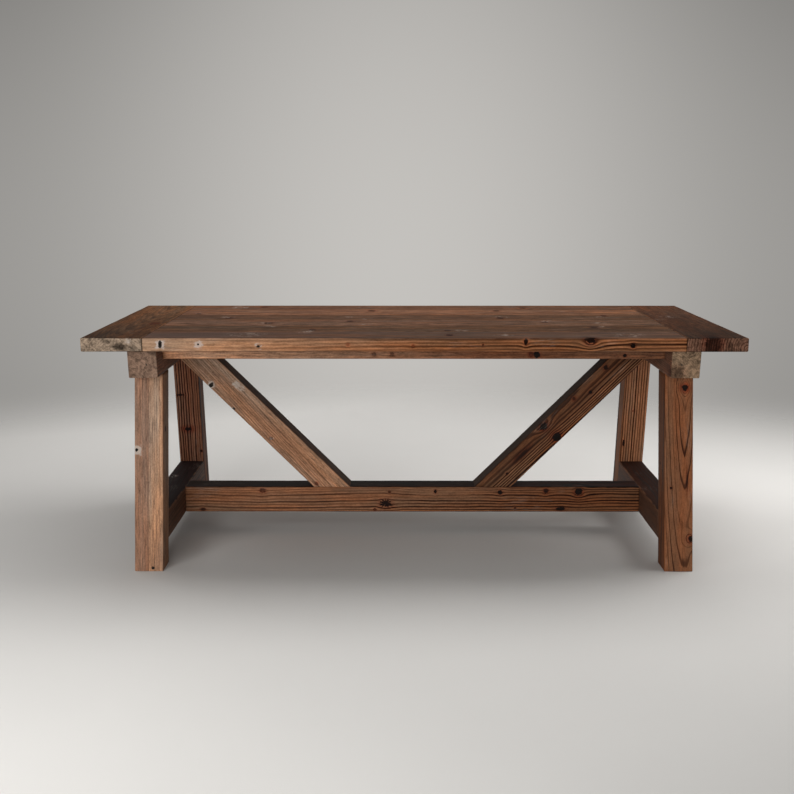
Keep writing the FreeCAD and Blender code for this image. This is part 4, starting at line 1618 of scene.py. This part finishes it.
    def make(self, paint: Paint) -> None:
        """Builds the top and dresses what lies hidden in it.

        Args:
            paint: the maker of materials.
        """
        for index in range(len(self.names)):
            self.plank(index).make(paint)
        for side in Side:
            self.breadboard(side).make(paint)
        plain = Stain(
            heart=(0.46, 0.31, 0.17),
            sap=(0.55, 0.40, 0.24),
            patch=(0.36, 0.23, 0.12),
            end=(0.42, 0.28, 0.16),
            ring_width=0.004,
            ring_depth=0.3,
            scuffs=0.0,
            edge_wear=0.0,
        )
        oak = replace(plain, heart=(0.40, 0.25, 0.13), ring_width=0.0025)
        for name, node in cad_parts.items():
            if name.startswith("spline_"):
                axes, stain, growth = Axes(middle_of(name), X, Y), plain, Growth(0.3, 0.1)
            elif name.startswith("breadboard_pegs_"):
                axes, stain, growth = Axes(middle_of(name), Z, X), oak, Growth(0.1, 0.3)
            else:
                continue
            dress(node, paint.timber(name + "_finish", axes, node_half(name, axes), stain, growth))


def dress(node: bpy.types.Object, material: bpy.types.Material) -> None:
    """Gives a node that is shown as it is its finish.

    Args:
        node: the node.
        material: its finish.
    """
    node.data.materials.clear()
    node.data.materials.append(material)
    LOG.info("%s: dressed", node.name)


@dataclass
class Trestle:
    """One trestle: a head, two splayed legs and a low rail."""

    side: Side
    splay: float = math.radians(10)
    leg_thickness: float = 0.095
    undercut: float = 0.013
    split_width: float = 0.0055
    split_depth: float = 0.016

    def head(self) -> Piece:
        """The beam under the top.

        Returns:
            The head, ready to make.
        """
        node = f"head_{self.side.word}"
        low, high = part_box(node)
        half = (high - low) / 2
        axes = Axes((low + high) / 2, Y, -X)
        rise = self.undercut / (high.z - low.z)
        ends = []
        for direction in (-1, 1):
            facing = Vector((0, direction, -rise)).normalized()
            place = Vector((axes.middle.x, direction * high.y, high.z)) - facing * SKIN
            ends.append(End(place, facing, True))
        timber = Timber(node, axes, Vector((half.y, half.x, half.z)), (ends[0], ends[1]))
        left = self.side is Side.LEFT
        end = (0.212, 0.133, 0.092) if left else (0.262, 0.172, 0.107)
        stain = replace(SALVAGED, heart=(0.13, 0.058, 0.033), end=end, end_depth=0.3, ring_width=0.006)
        stain = replace(stain, end_cracks=0.0 if left else 0.4)
        growth = Growth(across=0.09, deep=-0.10, wander=0.012)
        marks = (Mark((self.side.value * 0.869, -0.4455, 0.693), 0.0030, stretch=0.6, bloom=0.0),)
        knots: tuple[Knot, ...] = ()
        if not left:
            knots = (Knot((0.850, -0.443, 0.664), 0.018, push=0.0, dark=0.55, glow=0.3, stretch=1.3),)
        return Piece(timber, stain, growth, Slot.FRAME, knots, marks)

    def leg_marks(self, face: Face) -> tuple[tuple[Knot, ...], tuple[Mark, ...]]:
        """The knots and nail holes of one leg.

        Args:
            face: which side of the table it stands on.

        Returns:
            Its knots and its marks.
        """
        if self.side is Side.LEFT and face is Face.FRONT:
            knots = (Knot((-0.835, -0.353, 0.461), 0.006, stretch=1.6, through=1.0),)
            marks = (
                Mark((-0.9225, -0.4048, 0.399), 0.0048, bloom=1.0, bloom_radius=0.028, bored=True),
                Mark((-0.869, -0.473, 0.011), 0.0048, bloom=0.0, bored=True),
            )
            return knots, marks
        if self.side is Side.RIGHT and face is Face.FRONT:
            knots = (
                Knot((0.902, -0.369, 0.604), 0.0094, push=0.0, eye=-3.0, glow=1.0, reach=3.0),
                Knot((0.857, -0.427, 0.275), 0.0038, glow=0.6),
                Knot((0.924, -0.456, 0.108), 0.0095, push=0.0, eye=-2.8, glow=0.8, reach=3.0, tall=0.9),
                Knot((0.9106, -0.4225, 0.299), 0.0032, push=0.3, dark=0.7, glow=0.5, stretch=9.0, soft=0.6),
                Knot((0.835, -0.390, 0.325), 0.004, through=1.0),
                Knot((0.835, -0.348, 0.341), 0.0045, through=1.0),
            )
            return knots, ()
        if self.side is Side.LEFT:
            knots = (
                Knot((-0.889, 0.3236, 0.312), 0.0090, push=0.6, glow=1.0, reach=3.8, stretch=0.8, tall=1.3),
                Knot((-0.8413, 0.3401, 0.2191), 0.0050, glow=0.7),
                Knot((-0.9102, 0.2985, 0.4546), 0.0060, push=0.4, glow=0.6, stretch=0.6, tall=2.2),
            )
            return knots, ()
        knots = (
            Knot((0.8478, 0.3341, 0.2531), 0.004, stretch=3.5, push=0.5, glow=0.4),
            Knot((0.8758, 0.3101, 0.389), 0.0036, push=0.8, dark=0.5, glow=0.6),
        )
        return knots, ()

    def leg_finish(self, face: Face) -> tuple[Stain, Growth]:
        """The finish of one leg, and where it lay in its tree.

        Args:
            face: which side of the table it stands on.

        Returns:
            The finish and the growth.
        """
        if self.side is Side.LEFT and face is Face.FRONT:
            stain = replace(
                SALVAGED,
                heart=(0.242, 0.127, 0.077),
                sap=(0.322, 0.186, 0.111),
                patch=(0.165, 0.089, 0.062),
                late_wood=0.17,
                ring_width=0.0075,
                ring_depth=0.25,
                sap_ring_depth=0.5,
                sap_from=0.168,
                patchiness=0.34,
                fibre=1.15,
            )
            return stain, Growth(across=-0.155, deep=0.02, wander=0.010)
        if self.side is Side.RIGHT and face is Face.FRONT:
            stain = replace(
                SALVAGED,
                heart=(0.137, 0.0520, 0.0220),
                sap=(0.15, 0.060, 0.028),
                patch=(0.092, 0.034, 0.016),
                ring_width=0.0108,
                late_wood=0.14,
                ring_depth=0.88,
                patchiness=0.2,
                fibre=0.9,
            )
            return stain, Growth(across=0.020, deep=-0.0185, lean_deep=-0.085, wander=0.008)
        if self.side is Side.LEFT:
            stain = replace(
                SALVAGED,
                heart=(0.124, 0.050, 0.026),
                sap=(0.18, 0.08, 0.043),
                patch=(0.06, 0.026, 0.015),
                ring_width=0.0095,
                late_wood=0.33,
                ring_depth=1.25,
                sap_ring_depth=1.0,
                fibre=0.9,
            )
            return stain, Growth(across=-0.16, deep=-0.05, wander=0.012)
        stain = replace(
            SALVAGED,
            heart=(0.192, 0.085, 0.042),
            sap=(0.22, 0.098, 0.050),
            patch=(0.13, 0.055, 0.028),
            ring_width=0.0098,
            late_wood=0.31,
            ring_depth=1.2,
            patchiness=0.15,
            fibre=0.8,
        )
        return stain, Growth(across=0.24, deep=-0.02, wander=0.01)

    def leg(self, face: Face) -> Piece:
        """One leg.

        Args:
            face: which side of the table it stands on.

        Returns:
            The leg, ready to make.
        """
        node = f"leg_{face.word}_{self.side.word}"
        low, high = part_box(node)
        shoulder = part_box(f"head_{self.side.word}")[0].z
        slope = math.tan(self.splay)
        thick = self.leg_thickness / math.cos(self.splay)
        foot = max(abs(low.y), abs(high.y)) - thick / 2
        level = shoulder / 2
        middle = Vector(((low.x + high.x) / 2, face.value * (foot - slope * level), level))
        along = Vector((0, -face.value * math.sin(self.splay), math.cos(self.splay)))
        axes = Axes(middle, along, X)
        foot_end = End(Vector((0, 0, low.z + SKIN)), -Z, True)
        head_end = End(Vector((0, 0, high.z + JOINT_RUN)), Z, False)
        half_run = (high.z + JOINT_RUN - low.z) / 2 / math.cos(self.splay)
        half = Vector((half_run, (high.x - low.x) / 2, self.leg_thickness / 2))
        timber = Timber(node, axes, half, (foot_end, head_end))
        stain, growth = self.leg_finish(face)
        # Painted shade on the inner side, which faces in under the table.
        inner = (0.0, -self.side.value, 0.0)
        stain = replace(stain, other_side=inner, other_low=INNER_SHADE, other_high=INNER_SHADE)
        knots, marks = self.leg_marks(face)
        splits: tuple[bpy.types.Mesh, ...] = ()
        if self.side is Side.LEFT and face is Face.BACK:
            surface = axes.deep * (self.leg_thickness / 2)
            runs = (((-0.005, -0.021), (0.272, -0.006)), ((-0.155, -0.023), (-0.020, -0.015)))
            made = []
            for run in runs:
                start, stop = (axes.out(Vector((*spot, 0))) + surface for spot in run)
                made.append(split(start, stop, -axes.deep, self.split_width, self.split_depth))
            splits = tuple(made)
        return Piece(timber, stain, growth, Slot.FRAME, knots, marks, splits)

    def rail(self) -> Piece:
        """The low rail between the legs.

        Returns:
            The rail, ready to make.
        """
        node = f"rail_{self.side.word}"
        timber = squared(node, Y, -X)
        stain = replace(SALVAGED, heart=(0.076, 0.033, 0.018), patch=(0.042, 0.020, 0.012), ring_depth=0.8)
        # Painted shade: the rail's top, in shade under the table, is painted darker.
        tone = (0.21, 0.22, 0.36) if self.side is Side.LEFT else (0.30, 0.22, 0.22)
        stain = replace(stain, other_side=(0.0, 0.0, 1.0), other_low=tone, other_high=tone)
        marks: tuple[Mark, ...] = ()
        if self.side is Side.LEFT:
            marks = (Mark((-0.916, 0.11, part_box(node)[1].z), bloom=0.5, bloom_radius=0.03),)
        return Piece(timber, stain, Growth(0.05, -0.06, 0.02, 0.02, 0.02), Slot.FRAME, marks=marks)

    def make(self, paint: Paint) -> None:
        """Builds the trestle.

        Args:
            paint: the maker of materials.
        """
        self.head().make(paint)
        for face in Face:
            self.leg(face).make(paint)
        self.rail().make(paint)


@dataclass
class Tie:
    """What ties the trestles: the stretcher and the two diagonal braces."""

    brace_width: float = 0.095

    def stretcher(self) -> Piece:
        """The long low beam.

        Returns:
            The stretcher, ready to make.
        """
        timber = squared("stretcher", X, Y)
        stain = replace(
            SALVAGED,
            heart=(0.164, 0.069, 0.033),
            sap=(0.164, 0.069, 0.033),
            patch=(0.12, 0.05, 0.026),
            ring_width=0.0098,
            late_wood=0.28,
            ring_depth=1.6,
            fading=0.72,
            low_end_depth=0.40,
            patchiness=0.25,
            fibre=0.9,
            # Lighter at the left end and darker at the right: partly the beam's own tone, partly painted
            # light.
            low_tone=(1.12, 1.16, 1.16),
            high_tone=(0.48, 0.42, 0.34),
            tone_from=0.2,
            tone_to=0.85,
            # Painted shade: the top of the beam, in shade under the table, is painted darker.
            other_side=(0.0, 0.0, 1.0),
            other_low=(0.11, 0.16, 0.25),
            other_high=(0.10, 0.09, 0.14),
        )
        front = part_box("stretcher")[0].y
        knots = (
            Knot((-0.7727, front, 0.0896), 0.0065, push=0.8, dark=0.7, stretch=1.3, glow=0.5, soft=0.3),
            Knot(
                (-0.5511, front, 0.1620),
                0.0078,
                push=1.6,
                stretch=1.1,
                glow=0.6,
                soft=0.25,
                dark=0.62,
                spokes=2.2,
            ),
            Knot(
                (-0.097, front, 0.114),
                0.0135,
                push=1.2,
                stretch=1.4,
                tall=0.9,
                glow=0.6,
                soft=0.1,
                spokes=2.6,
            ),
            Knot((-0.084, front, 0.156), 0.0042, dark=0.7),
            Knot((0.085, front, 0.158), 0.0050, push=1.2, tall=1.4),
            Knot((0.323, front, 0.155), 0.0080, push=1.2, spokes=1.3),
            Knot((0.379, front, 0.095), 0.0045, dark=0.8),
            Knot((-0.138, front, 0.089), 0.0045, dark=0.6, glow=0.7),
            Knot((0.492, front, 0.160), 0.0082, push=1.2, dark=0.85, glow=0.8, spokes=1.2),
            Knot((0.612, front, 0.159), 0.0130, push=1.8, glow=0.7, spokes=0.8),
            Knot((0.547, front, 0.092), 0.0095, push=0.6, stretch=1.6, tall=0.7),
        )
        return Piece(timber, stain, Growth(-0.02, -0.17, wander=0.030), Slot.FRAME, knots)

    def brace(self, side: Side) -> Piece:
        """One diagonal brace.

        Args:
            side: which trestle it holds.

        Returns:
            The brace, ready to make.
        """
        node = f"brace_{side.word}"
        low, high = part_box(node)
        slope = math.sqrt(0.5)
        along = Vector((side.value * slope, 0, slope))
        across = Vector((-side.value * slope, 0, slope))
        # The lower arris rises from the outer edge of the foot, which is as wide as a square cut at 45.
        foot_width = self.brace_width / slope
        foot_outer = low.x + foot_width if side is Side.RIGHT else high.x - foot_width
        lower = Vector((foot_outer, 0, low.z))
        reach = (high.z - low.z) / slope
        middle = lower + along * (reach / 2) + across * (self.brace_width / 2)
        axes = Axes(middle, along, across)
        run = reach / 2 + self.brace_width + JOINT_RUN
        ends = (End(middle - along * run, -along, False), End(middle + along * run, along, False))
        half = Vector((run, self.brace_width / 2, (high.y - low.y) / 2))
        timber = Timber(node, axes, half, ends)
        front = low.y
        if side is Side.LEFT:
            stain = replace(
                SALVAGED,
                heart=(0.265, 0.150, 0.090),
                sap=(0.34, 0.19, 0.11),
                patch=(0.15, 0.08, 0.05),
                ring_width=0.0078,
                ring_depth=0.5,
                sap_ring_depth=0.25,
                sap_from=0.152,
                high_tone=(1.05, 1.08, 1.1),
                low_tone=(0.98, 0.92, 0.88),
                # Painted shade: the upper side, in shade under the top, is painted darker.
                other_side=(0.0, 1.0, 0.0),
                other_low=(0.3, 0.3, 0.35),
                other_high=(0.3, 0.3, 0.35),
            )
            growth = Growth(across=-0.12, deep=-0.02, lean_across=0.06, wander=0.012)
            knots = (
                Knot((-0.516, front, 0.358), 0.0066, glow=0.35, dark=0.62, spokes=1.0),
                Knot((-0.352, front, 0.188), 0.0050, glow=0.9, dark=0.5),
            )
            marks = (
                Mark((-0.729, front, 0.5555), 0.0062, tall=1.6, bloom=1.0, bloom_radius=0.022, bored=True),
                Mark((-0.636, front, 0.557), bloom=0.95, bloom_radius=0.022),
                Mark((-0.619, front, 0.543), bloom=0.85, bloom_radius=0.018),
                Mark((-0.6483, front, 0.4691), 0.0042, bloom=0.5, bloom_radius=0.009, bored=True),
                Mark((-0.5130, front, 0.3600), bloom=0.6, bloom_radius=0.011),
            )
            return Piece(timber, stain, growth, Slot.FRAME, knots, marks)
        stain = replace(
            SALVAGED,
            heart=(0.080, 0.0325, 0.0142),
            sap=(0.112, 0.0445, 0.0185),
            patch=(0.046, 0.018, 0.009),
            ring_width=0.0072,
            late_wood=0.33,
            ring_depth=0.9,
            sap_ring_depth=1.6,
            sap_from=0.074,
            patchiness=0.35,
            fibre=0.9,
            # Painted shade: the upper side, in shade under the top, is painted darker.
            other_side=(0.0, 1.0, 0.0),
            other_low=(0.5, 0.6, 0.75),
            other_high=(0.5, 0.6, 0.75),
        )
        growth = Growth(across=0.045, deep=-0.01, lean_across=-0.02, wander=0.012)
        knots = (
            Knot((0.6956, front, 0.6196), 0.0074, push=0.5, glow=0.7, reach=3.0, dark=0.9, spokes=1.2),
            Knot((0.6436, front, 0.5294), 0.0056, push=0.8, glow=0.7),
            Knot((0.5847, front, 0.5061), 0.0058, push=0.5, glow=0.8, dark=0.7, reach=3.2, soft=0.2),
            Knot((0.4780, front, 0.4029), 0.0128, push=0.0, eye=-0.9, glow=1.0, spokes=0.7),
            Knot((0.5278, front, 0.3622), 0.0155, push=1.0, glow=1.0, stretch=0.9, reach=2.8, spokes=0.9),
            Knot((0.3990, front, 0.2976), 0.0080, push=0.3, dark=0.65, glow=0.8, stretch=4.0, soft=0.7),
            Knot(
                (0.4060, front, 0.3050),
                0.0052,
                push=0.0,
                dark=0.8,
                glow=0.0,
                stretch=3.6,
                soft=0.3,
                spokes=1.0,
            ),
            Knot((0.3469, front, 0.2263), 0.0042, dark=0.8),
        )
        return Piece(timber, stain, growth, Slot.FRAME, knots)

    def make(self, paint: Paint) -> None:
        """Builds the stretcher and the braces.

        Args:
            paint: the maker of materials.
        """
        self.stretcher().make(paint)
        for side in Side:
            self.brace(side).make(paint)


@dataclass
class Aprons:
    """The slim rails under the long edges of the top."""

    def apron(self, face: Face) -> Piece:
        """One apron.

        Args:
            face: which long side of the table it is on.

        Returns:
            The apron, ready to make.
        """
        node = f"apron_{face.word}"
        timber = squared(node, X, Y)
        stain = replace(
            SALVAGED,
            heart=(0.195, 0.087, 0.048),
            ring_width=0.010,
            ring_depth=0.5,
            patchiness=0.2,
            # Much lighter at the left end than at the right: partly the apron's own tone, partly painted
            # light.
            low_tone=(2.4, 2.75, 2.75),
            high_tone=(0.76, 0.66, 0.56),
            tone_from=0.08,
            tone_to=0.65,
            low_end_depth=0.3,
        )
        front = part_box(node)[0].y
        knots = (
            Knot((-0.132, front, 0.715), 0.0068, dark=0.62, glow=0.3, spokes=1.4, soft=0.2),
            Knot((-0.072, front, 0.715), 0.0072, dark=0.62, glow=0.3, spokes=1.8, soft=0.2),
            Knot((0.390, front, 0.714), 0.0080, dark=0.45, glow=0.9, spokes=1.0),
            Knot((0.409, front, 0.713), 0.0094, push=0.8, tall=1.2, glow=0.6),
            Knot((0.701, front, 0.710), 0.0058),
        )
        return Piece(timber, stain, Growth(0.02, -0.11, wander=0.012), Slot.FRAME, knots)

    def make(self, paint: Paint) -> None:
        """Builds both aprons.

        Args:
            paint: the maker of materials.
        """
        for face in Face:
            self.apron(face).make(paint)


@dataclass
class Fasteners:
    """The screws, bolts, washers and barrel nuts, shown as they are made."""

    nodes: tuple[str, ...] = ("top_screws", "brace_screws", "stretcher_bolts", "bolt_washers", "barrel_nuts")

    def make(self, paint: Paint) -> None:
        """Dresses them all.

        Args:
            paint: the maker of materials.
        """
        for name in self.nodes:
            dress(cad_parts[name], paint.zinc(name + "_finish"))


# ------------------------------------------------------------------ the studio


@dataclass(frozen=True)
class Lamp:
    """A soft box: where it hangs, where it points, its width and height, and its power in watts."""

    name: str
    place: tuple[float, float, float]
    aim: tuple[float, float, float]
    size: tuple[float, float]
    power: float

    def make(self) -> None:
        """Hangs the lamp."""
        light = bpy.data.lights.new(self.name, "AREA")
        light.shape = "RECTANGLE"
        light.size, light.size_y = self.size
        light.energy = self.power
        box = linked(self.name, light)
        box.location = self.place
        box.rotation_mode = "QUATERNION"
        box.rotation_quaternion = (Vector(self.aim) - Vector(self.place)).to_track_quat("-Z", "Y")
        box.visible_camera = False


@dataclass
class Studio:
    """A pale floor that fades into a softly graded backdrop, soft lamps and the camera."""

    floor_radius: float = 6.0
    floor_tone: float = 0.68
    floor_tint: Colour = (1.0, 0.975, 0.935)
    # floor_rise and the two after it paint light and shade into the floor's colour: darker near the table,
    # paler away from it, behind it and at its right.
    floor_rise: float = 0.032
    floor_rise_back: float = 0.032
    floor_rise_right: float = 0.057
    fade_from: float = 1.4
    fade_to: float = 3.7
    camera_place: tuple[float, float, float] = (-0.0460, -4.0588, 1.2662)
    camera_pitch: float = 0.1859
    camera_yaw: float = 0.0026
    camera_lens: float = 51.08
    sensor: float = 36.0
    backdrop_tone: float = 0.435
    backdrop_glow: float = 0.115
    backdrop_lobes: float = 8.0
    backdrop_middle: float = -0.07
    backdrop_fall: float = 1.9
    backdrop_most_fall: float = 0.12
    horizon_from: float = -0.16
    horizon_to: float = -0.27
    horizon_glow: float = 0.19
    backdrop_tint: Colour = (1.0, 0.97, 0.925)
    sky_tint: Colour = (1.0, 0.985, 0.965)
    sky_strength: float = 0.05
    lamps: tuple[Lamp, ...] = (
        Lamp("overhead", (0.0, 1.0, 4.2), (0.0, 0.4, 0.0), (3.6, 2.6), 52.0),
        Lamp("overhead_right", (2.4, 0.8, 3.8), (0.6, 0.3, 0.0), (2.4, 2.4), 69.0),
        Lamp("overhead_left", (-2.4, 0.8, 3.8), (-0.6, 0.3, 0.0), (2.4, 2.4), 28.0),
        Lamp("near_left", (-1.9, -2.6, 1.5), (-1.1, -2.0, 0.0), (1.0, 1.0), 21.6),
        Lamp("low_right", (3.0, -0.4, 1.6), (1.3, 0.0, 0.0), (2.4, 1.2), 18.0),
        Lamp("front", (-0.9, -5.4, 1.25), (0.0, 0.0, 0.5), (2.6, 2.1), 133.0),
        Lamp("back_left", (-4.6, 3.0, 1.5), (0.0, 0.3, 0.5), (1.6, 1.4), 16.0),
        Lamp("back_right", (4.6, 3.0, 1.5), (0.0, 0.3, 0.5), (1.6, 1.4), 12.0),
    )

    def backdrop(self, net: Net, direction: Socket) -> Socket:
        """The backdrop's colour, palest straight behind the table and a little below eye level.

        Args:
            net: the network to add to.
            direction: the direction looked in.

        Returns:
            The colour.
        """
        x, y, z = net.parts(direction)
        azimuth = net.math("ARCTAN2", x, y)
        lobes = net.math("COSINE", net.times(azimuth, self.backdrop_lobes))
        level = net.add(z, -self.backdrop_middle)
        height = net.times(net.times(level, level), -self.backdrop_fall)
        height = net.math("MAXIMUM", height, -self.backdrop_most_fall)
        tone = net.add(net.times(lobes, self.backdrop_glow), self.backdrop_tone)
        tone = net.add(tone, height)
        horizon = net.ease(z, self.horizon_from, self.horizon_to, 0.0, self.horizon_glow)
        tone = net.add(tone, horizon)
        return net.vector("MULTIPLY", net.xyz(tone, tone, tone), self.backdrop_tint)

    def world(self) -> None:
        """Even light all round, and the backdrop where the camera or a gloss looks."""
        world = bpy.data.worlds.new("studio")
        world.use_nodes = True
        world.node_tree.nodes.clear()
        bpy.context.scene.world = world
        net = Net(world.node_tree)
        direction = net.node("TexCoord").outputs["Generated"]
        seen = net.node("Background", {"Color": self.backdrop(net, direction), "Strength": 1.0})
        light = net.node("Background", {"Color": self.sky_tint, "Strength": self.sky_strength})
        ray = net.node("LightPath").outputs
        looked = net.math("MAXIMUM", ray["Is Camera Ray"], ray["Is Glossy Ray"])
        looked = net.math("MAXIMUM", looked, ray["Is Transmission Ray"])
        mixed = net.node("MixShader", {0: looked, 1: light.outputs[0], 2: seen.outputs[0]})
        net.feed(net.node("OutputWorld").inputs["Surface"], mixed.outputs[0])

    def floor(self) -> None:
        """The floor, which fades out into the backdrop away from the table."""
        mesh = bmesh.new()
        bmesh.ops.create_circle(mesh, cap_ends=True, radius=self.floor_radius, segments=96)
        floor = linked("floor", finished(mesh, "floor"))
        material, net, output = Paint.blank("pale_floor")
        place = net.node("TexCoord").outputs["Object"]
        x, y, _ = net.parts(place)
        radius = net.vector("LENGTH", place)
        mottled = net.span(net.cloud(place, 1.6, 3.0), 0.97, 1.03)
        # Painted light and shade in the floor's colour: paler away from the table, and paler at the right
        # beside it than before or behind it.
        rise = net.times(net.times(radius, radius), self.floor_rise)
        bend = net.add(net.times(y, 0.013), net.times(net.times(y, y), -0.047))
        aside = net.add(self.floor_rise_right, bend)
        rise = net.add(rise, net.add(net.times(y, self.floor_rise_back), net.times(x, aside)))
        tone = net.math("MULTIPLY", net.add(rise, self.floor_tone), mottled, clamp=True)
        colour = net.vector("MULTIPLY", net.xyz(tone, tone, tone), self.floor_tint)
        ground = net.cloud(place, 240.0, 3.0)
        bump = net.node("Bump", {"Height": ground, "Distance": 0.0004})
        surface = {"Base Color": colour, "Roughness": 0.9, "Specular IOR Level": 0.1}
        surface["Normal"] = bump.outputs[0]
        shader = net.node("BsdfPrincipled", surface)
        clear = net.node("BsdfTransparent")
        gone = net.ease(radius, self.fade_from, self.fade_to)
        mixed = net.node("MixShader", {0: gone, 1: shader.outputs[0], 2: clear.outputs[0]})
        net.feed(output.inputs["Surface"], mixed.outputs[0])
        floor.data.materials.append(material)

    def camera(self) -> None:
        """The camera, a little above the top and square on to the table's front."""
        lens = bpy.data.cameras.new("camera")
        lens.sensor_width = self.sensor
        lens.lens = self.camera_lens
        lens.dof.use_dof = False
        camera = linked("camera", lens)
        pitch, yaw = self.camera_pitch, self.camera_yaw
        flat = math.cos(pitch)
        forward = Vector((-math.sin(yaw) * flat, math.cos(yaw) * flat, -math.sin(pitch)))
        camera.location = self.camera_place
        camera.rotation_mode = "QUATERNION"
        camera.rotation_quaternion = forward.to_track_quat("-Z", "Y")
        bpy.context.scene.camera = camera

    def make(self) -> None:
        """Sets up everything round the table."""
        bpy.context.scene.view_settings.view_transform = "Standard"
        self.camera()
        self.world()
        self.floor()
        for lamp in self.lamps:
            lamp.make()
        LOG.info("studio: floor, lamps and camera")


def main() -> None:
    """Builds the table piece by piece, then the studio."""
    logging.basicConfig(level=logging.INFO, format="%(name)s: %(message)s")
    Studio().make()
    paint = Paint(Effects())
    Top().make(paint)
    for side in Side:
        Trestle(side).make(paint)
    Tie().make(paint)
    Aprons().make(paint)
    Fasteners().make(paint)


if __name__ == "__main__":
    main()
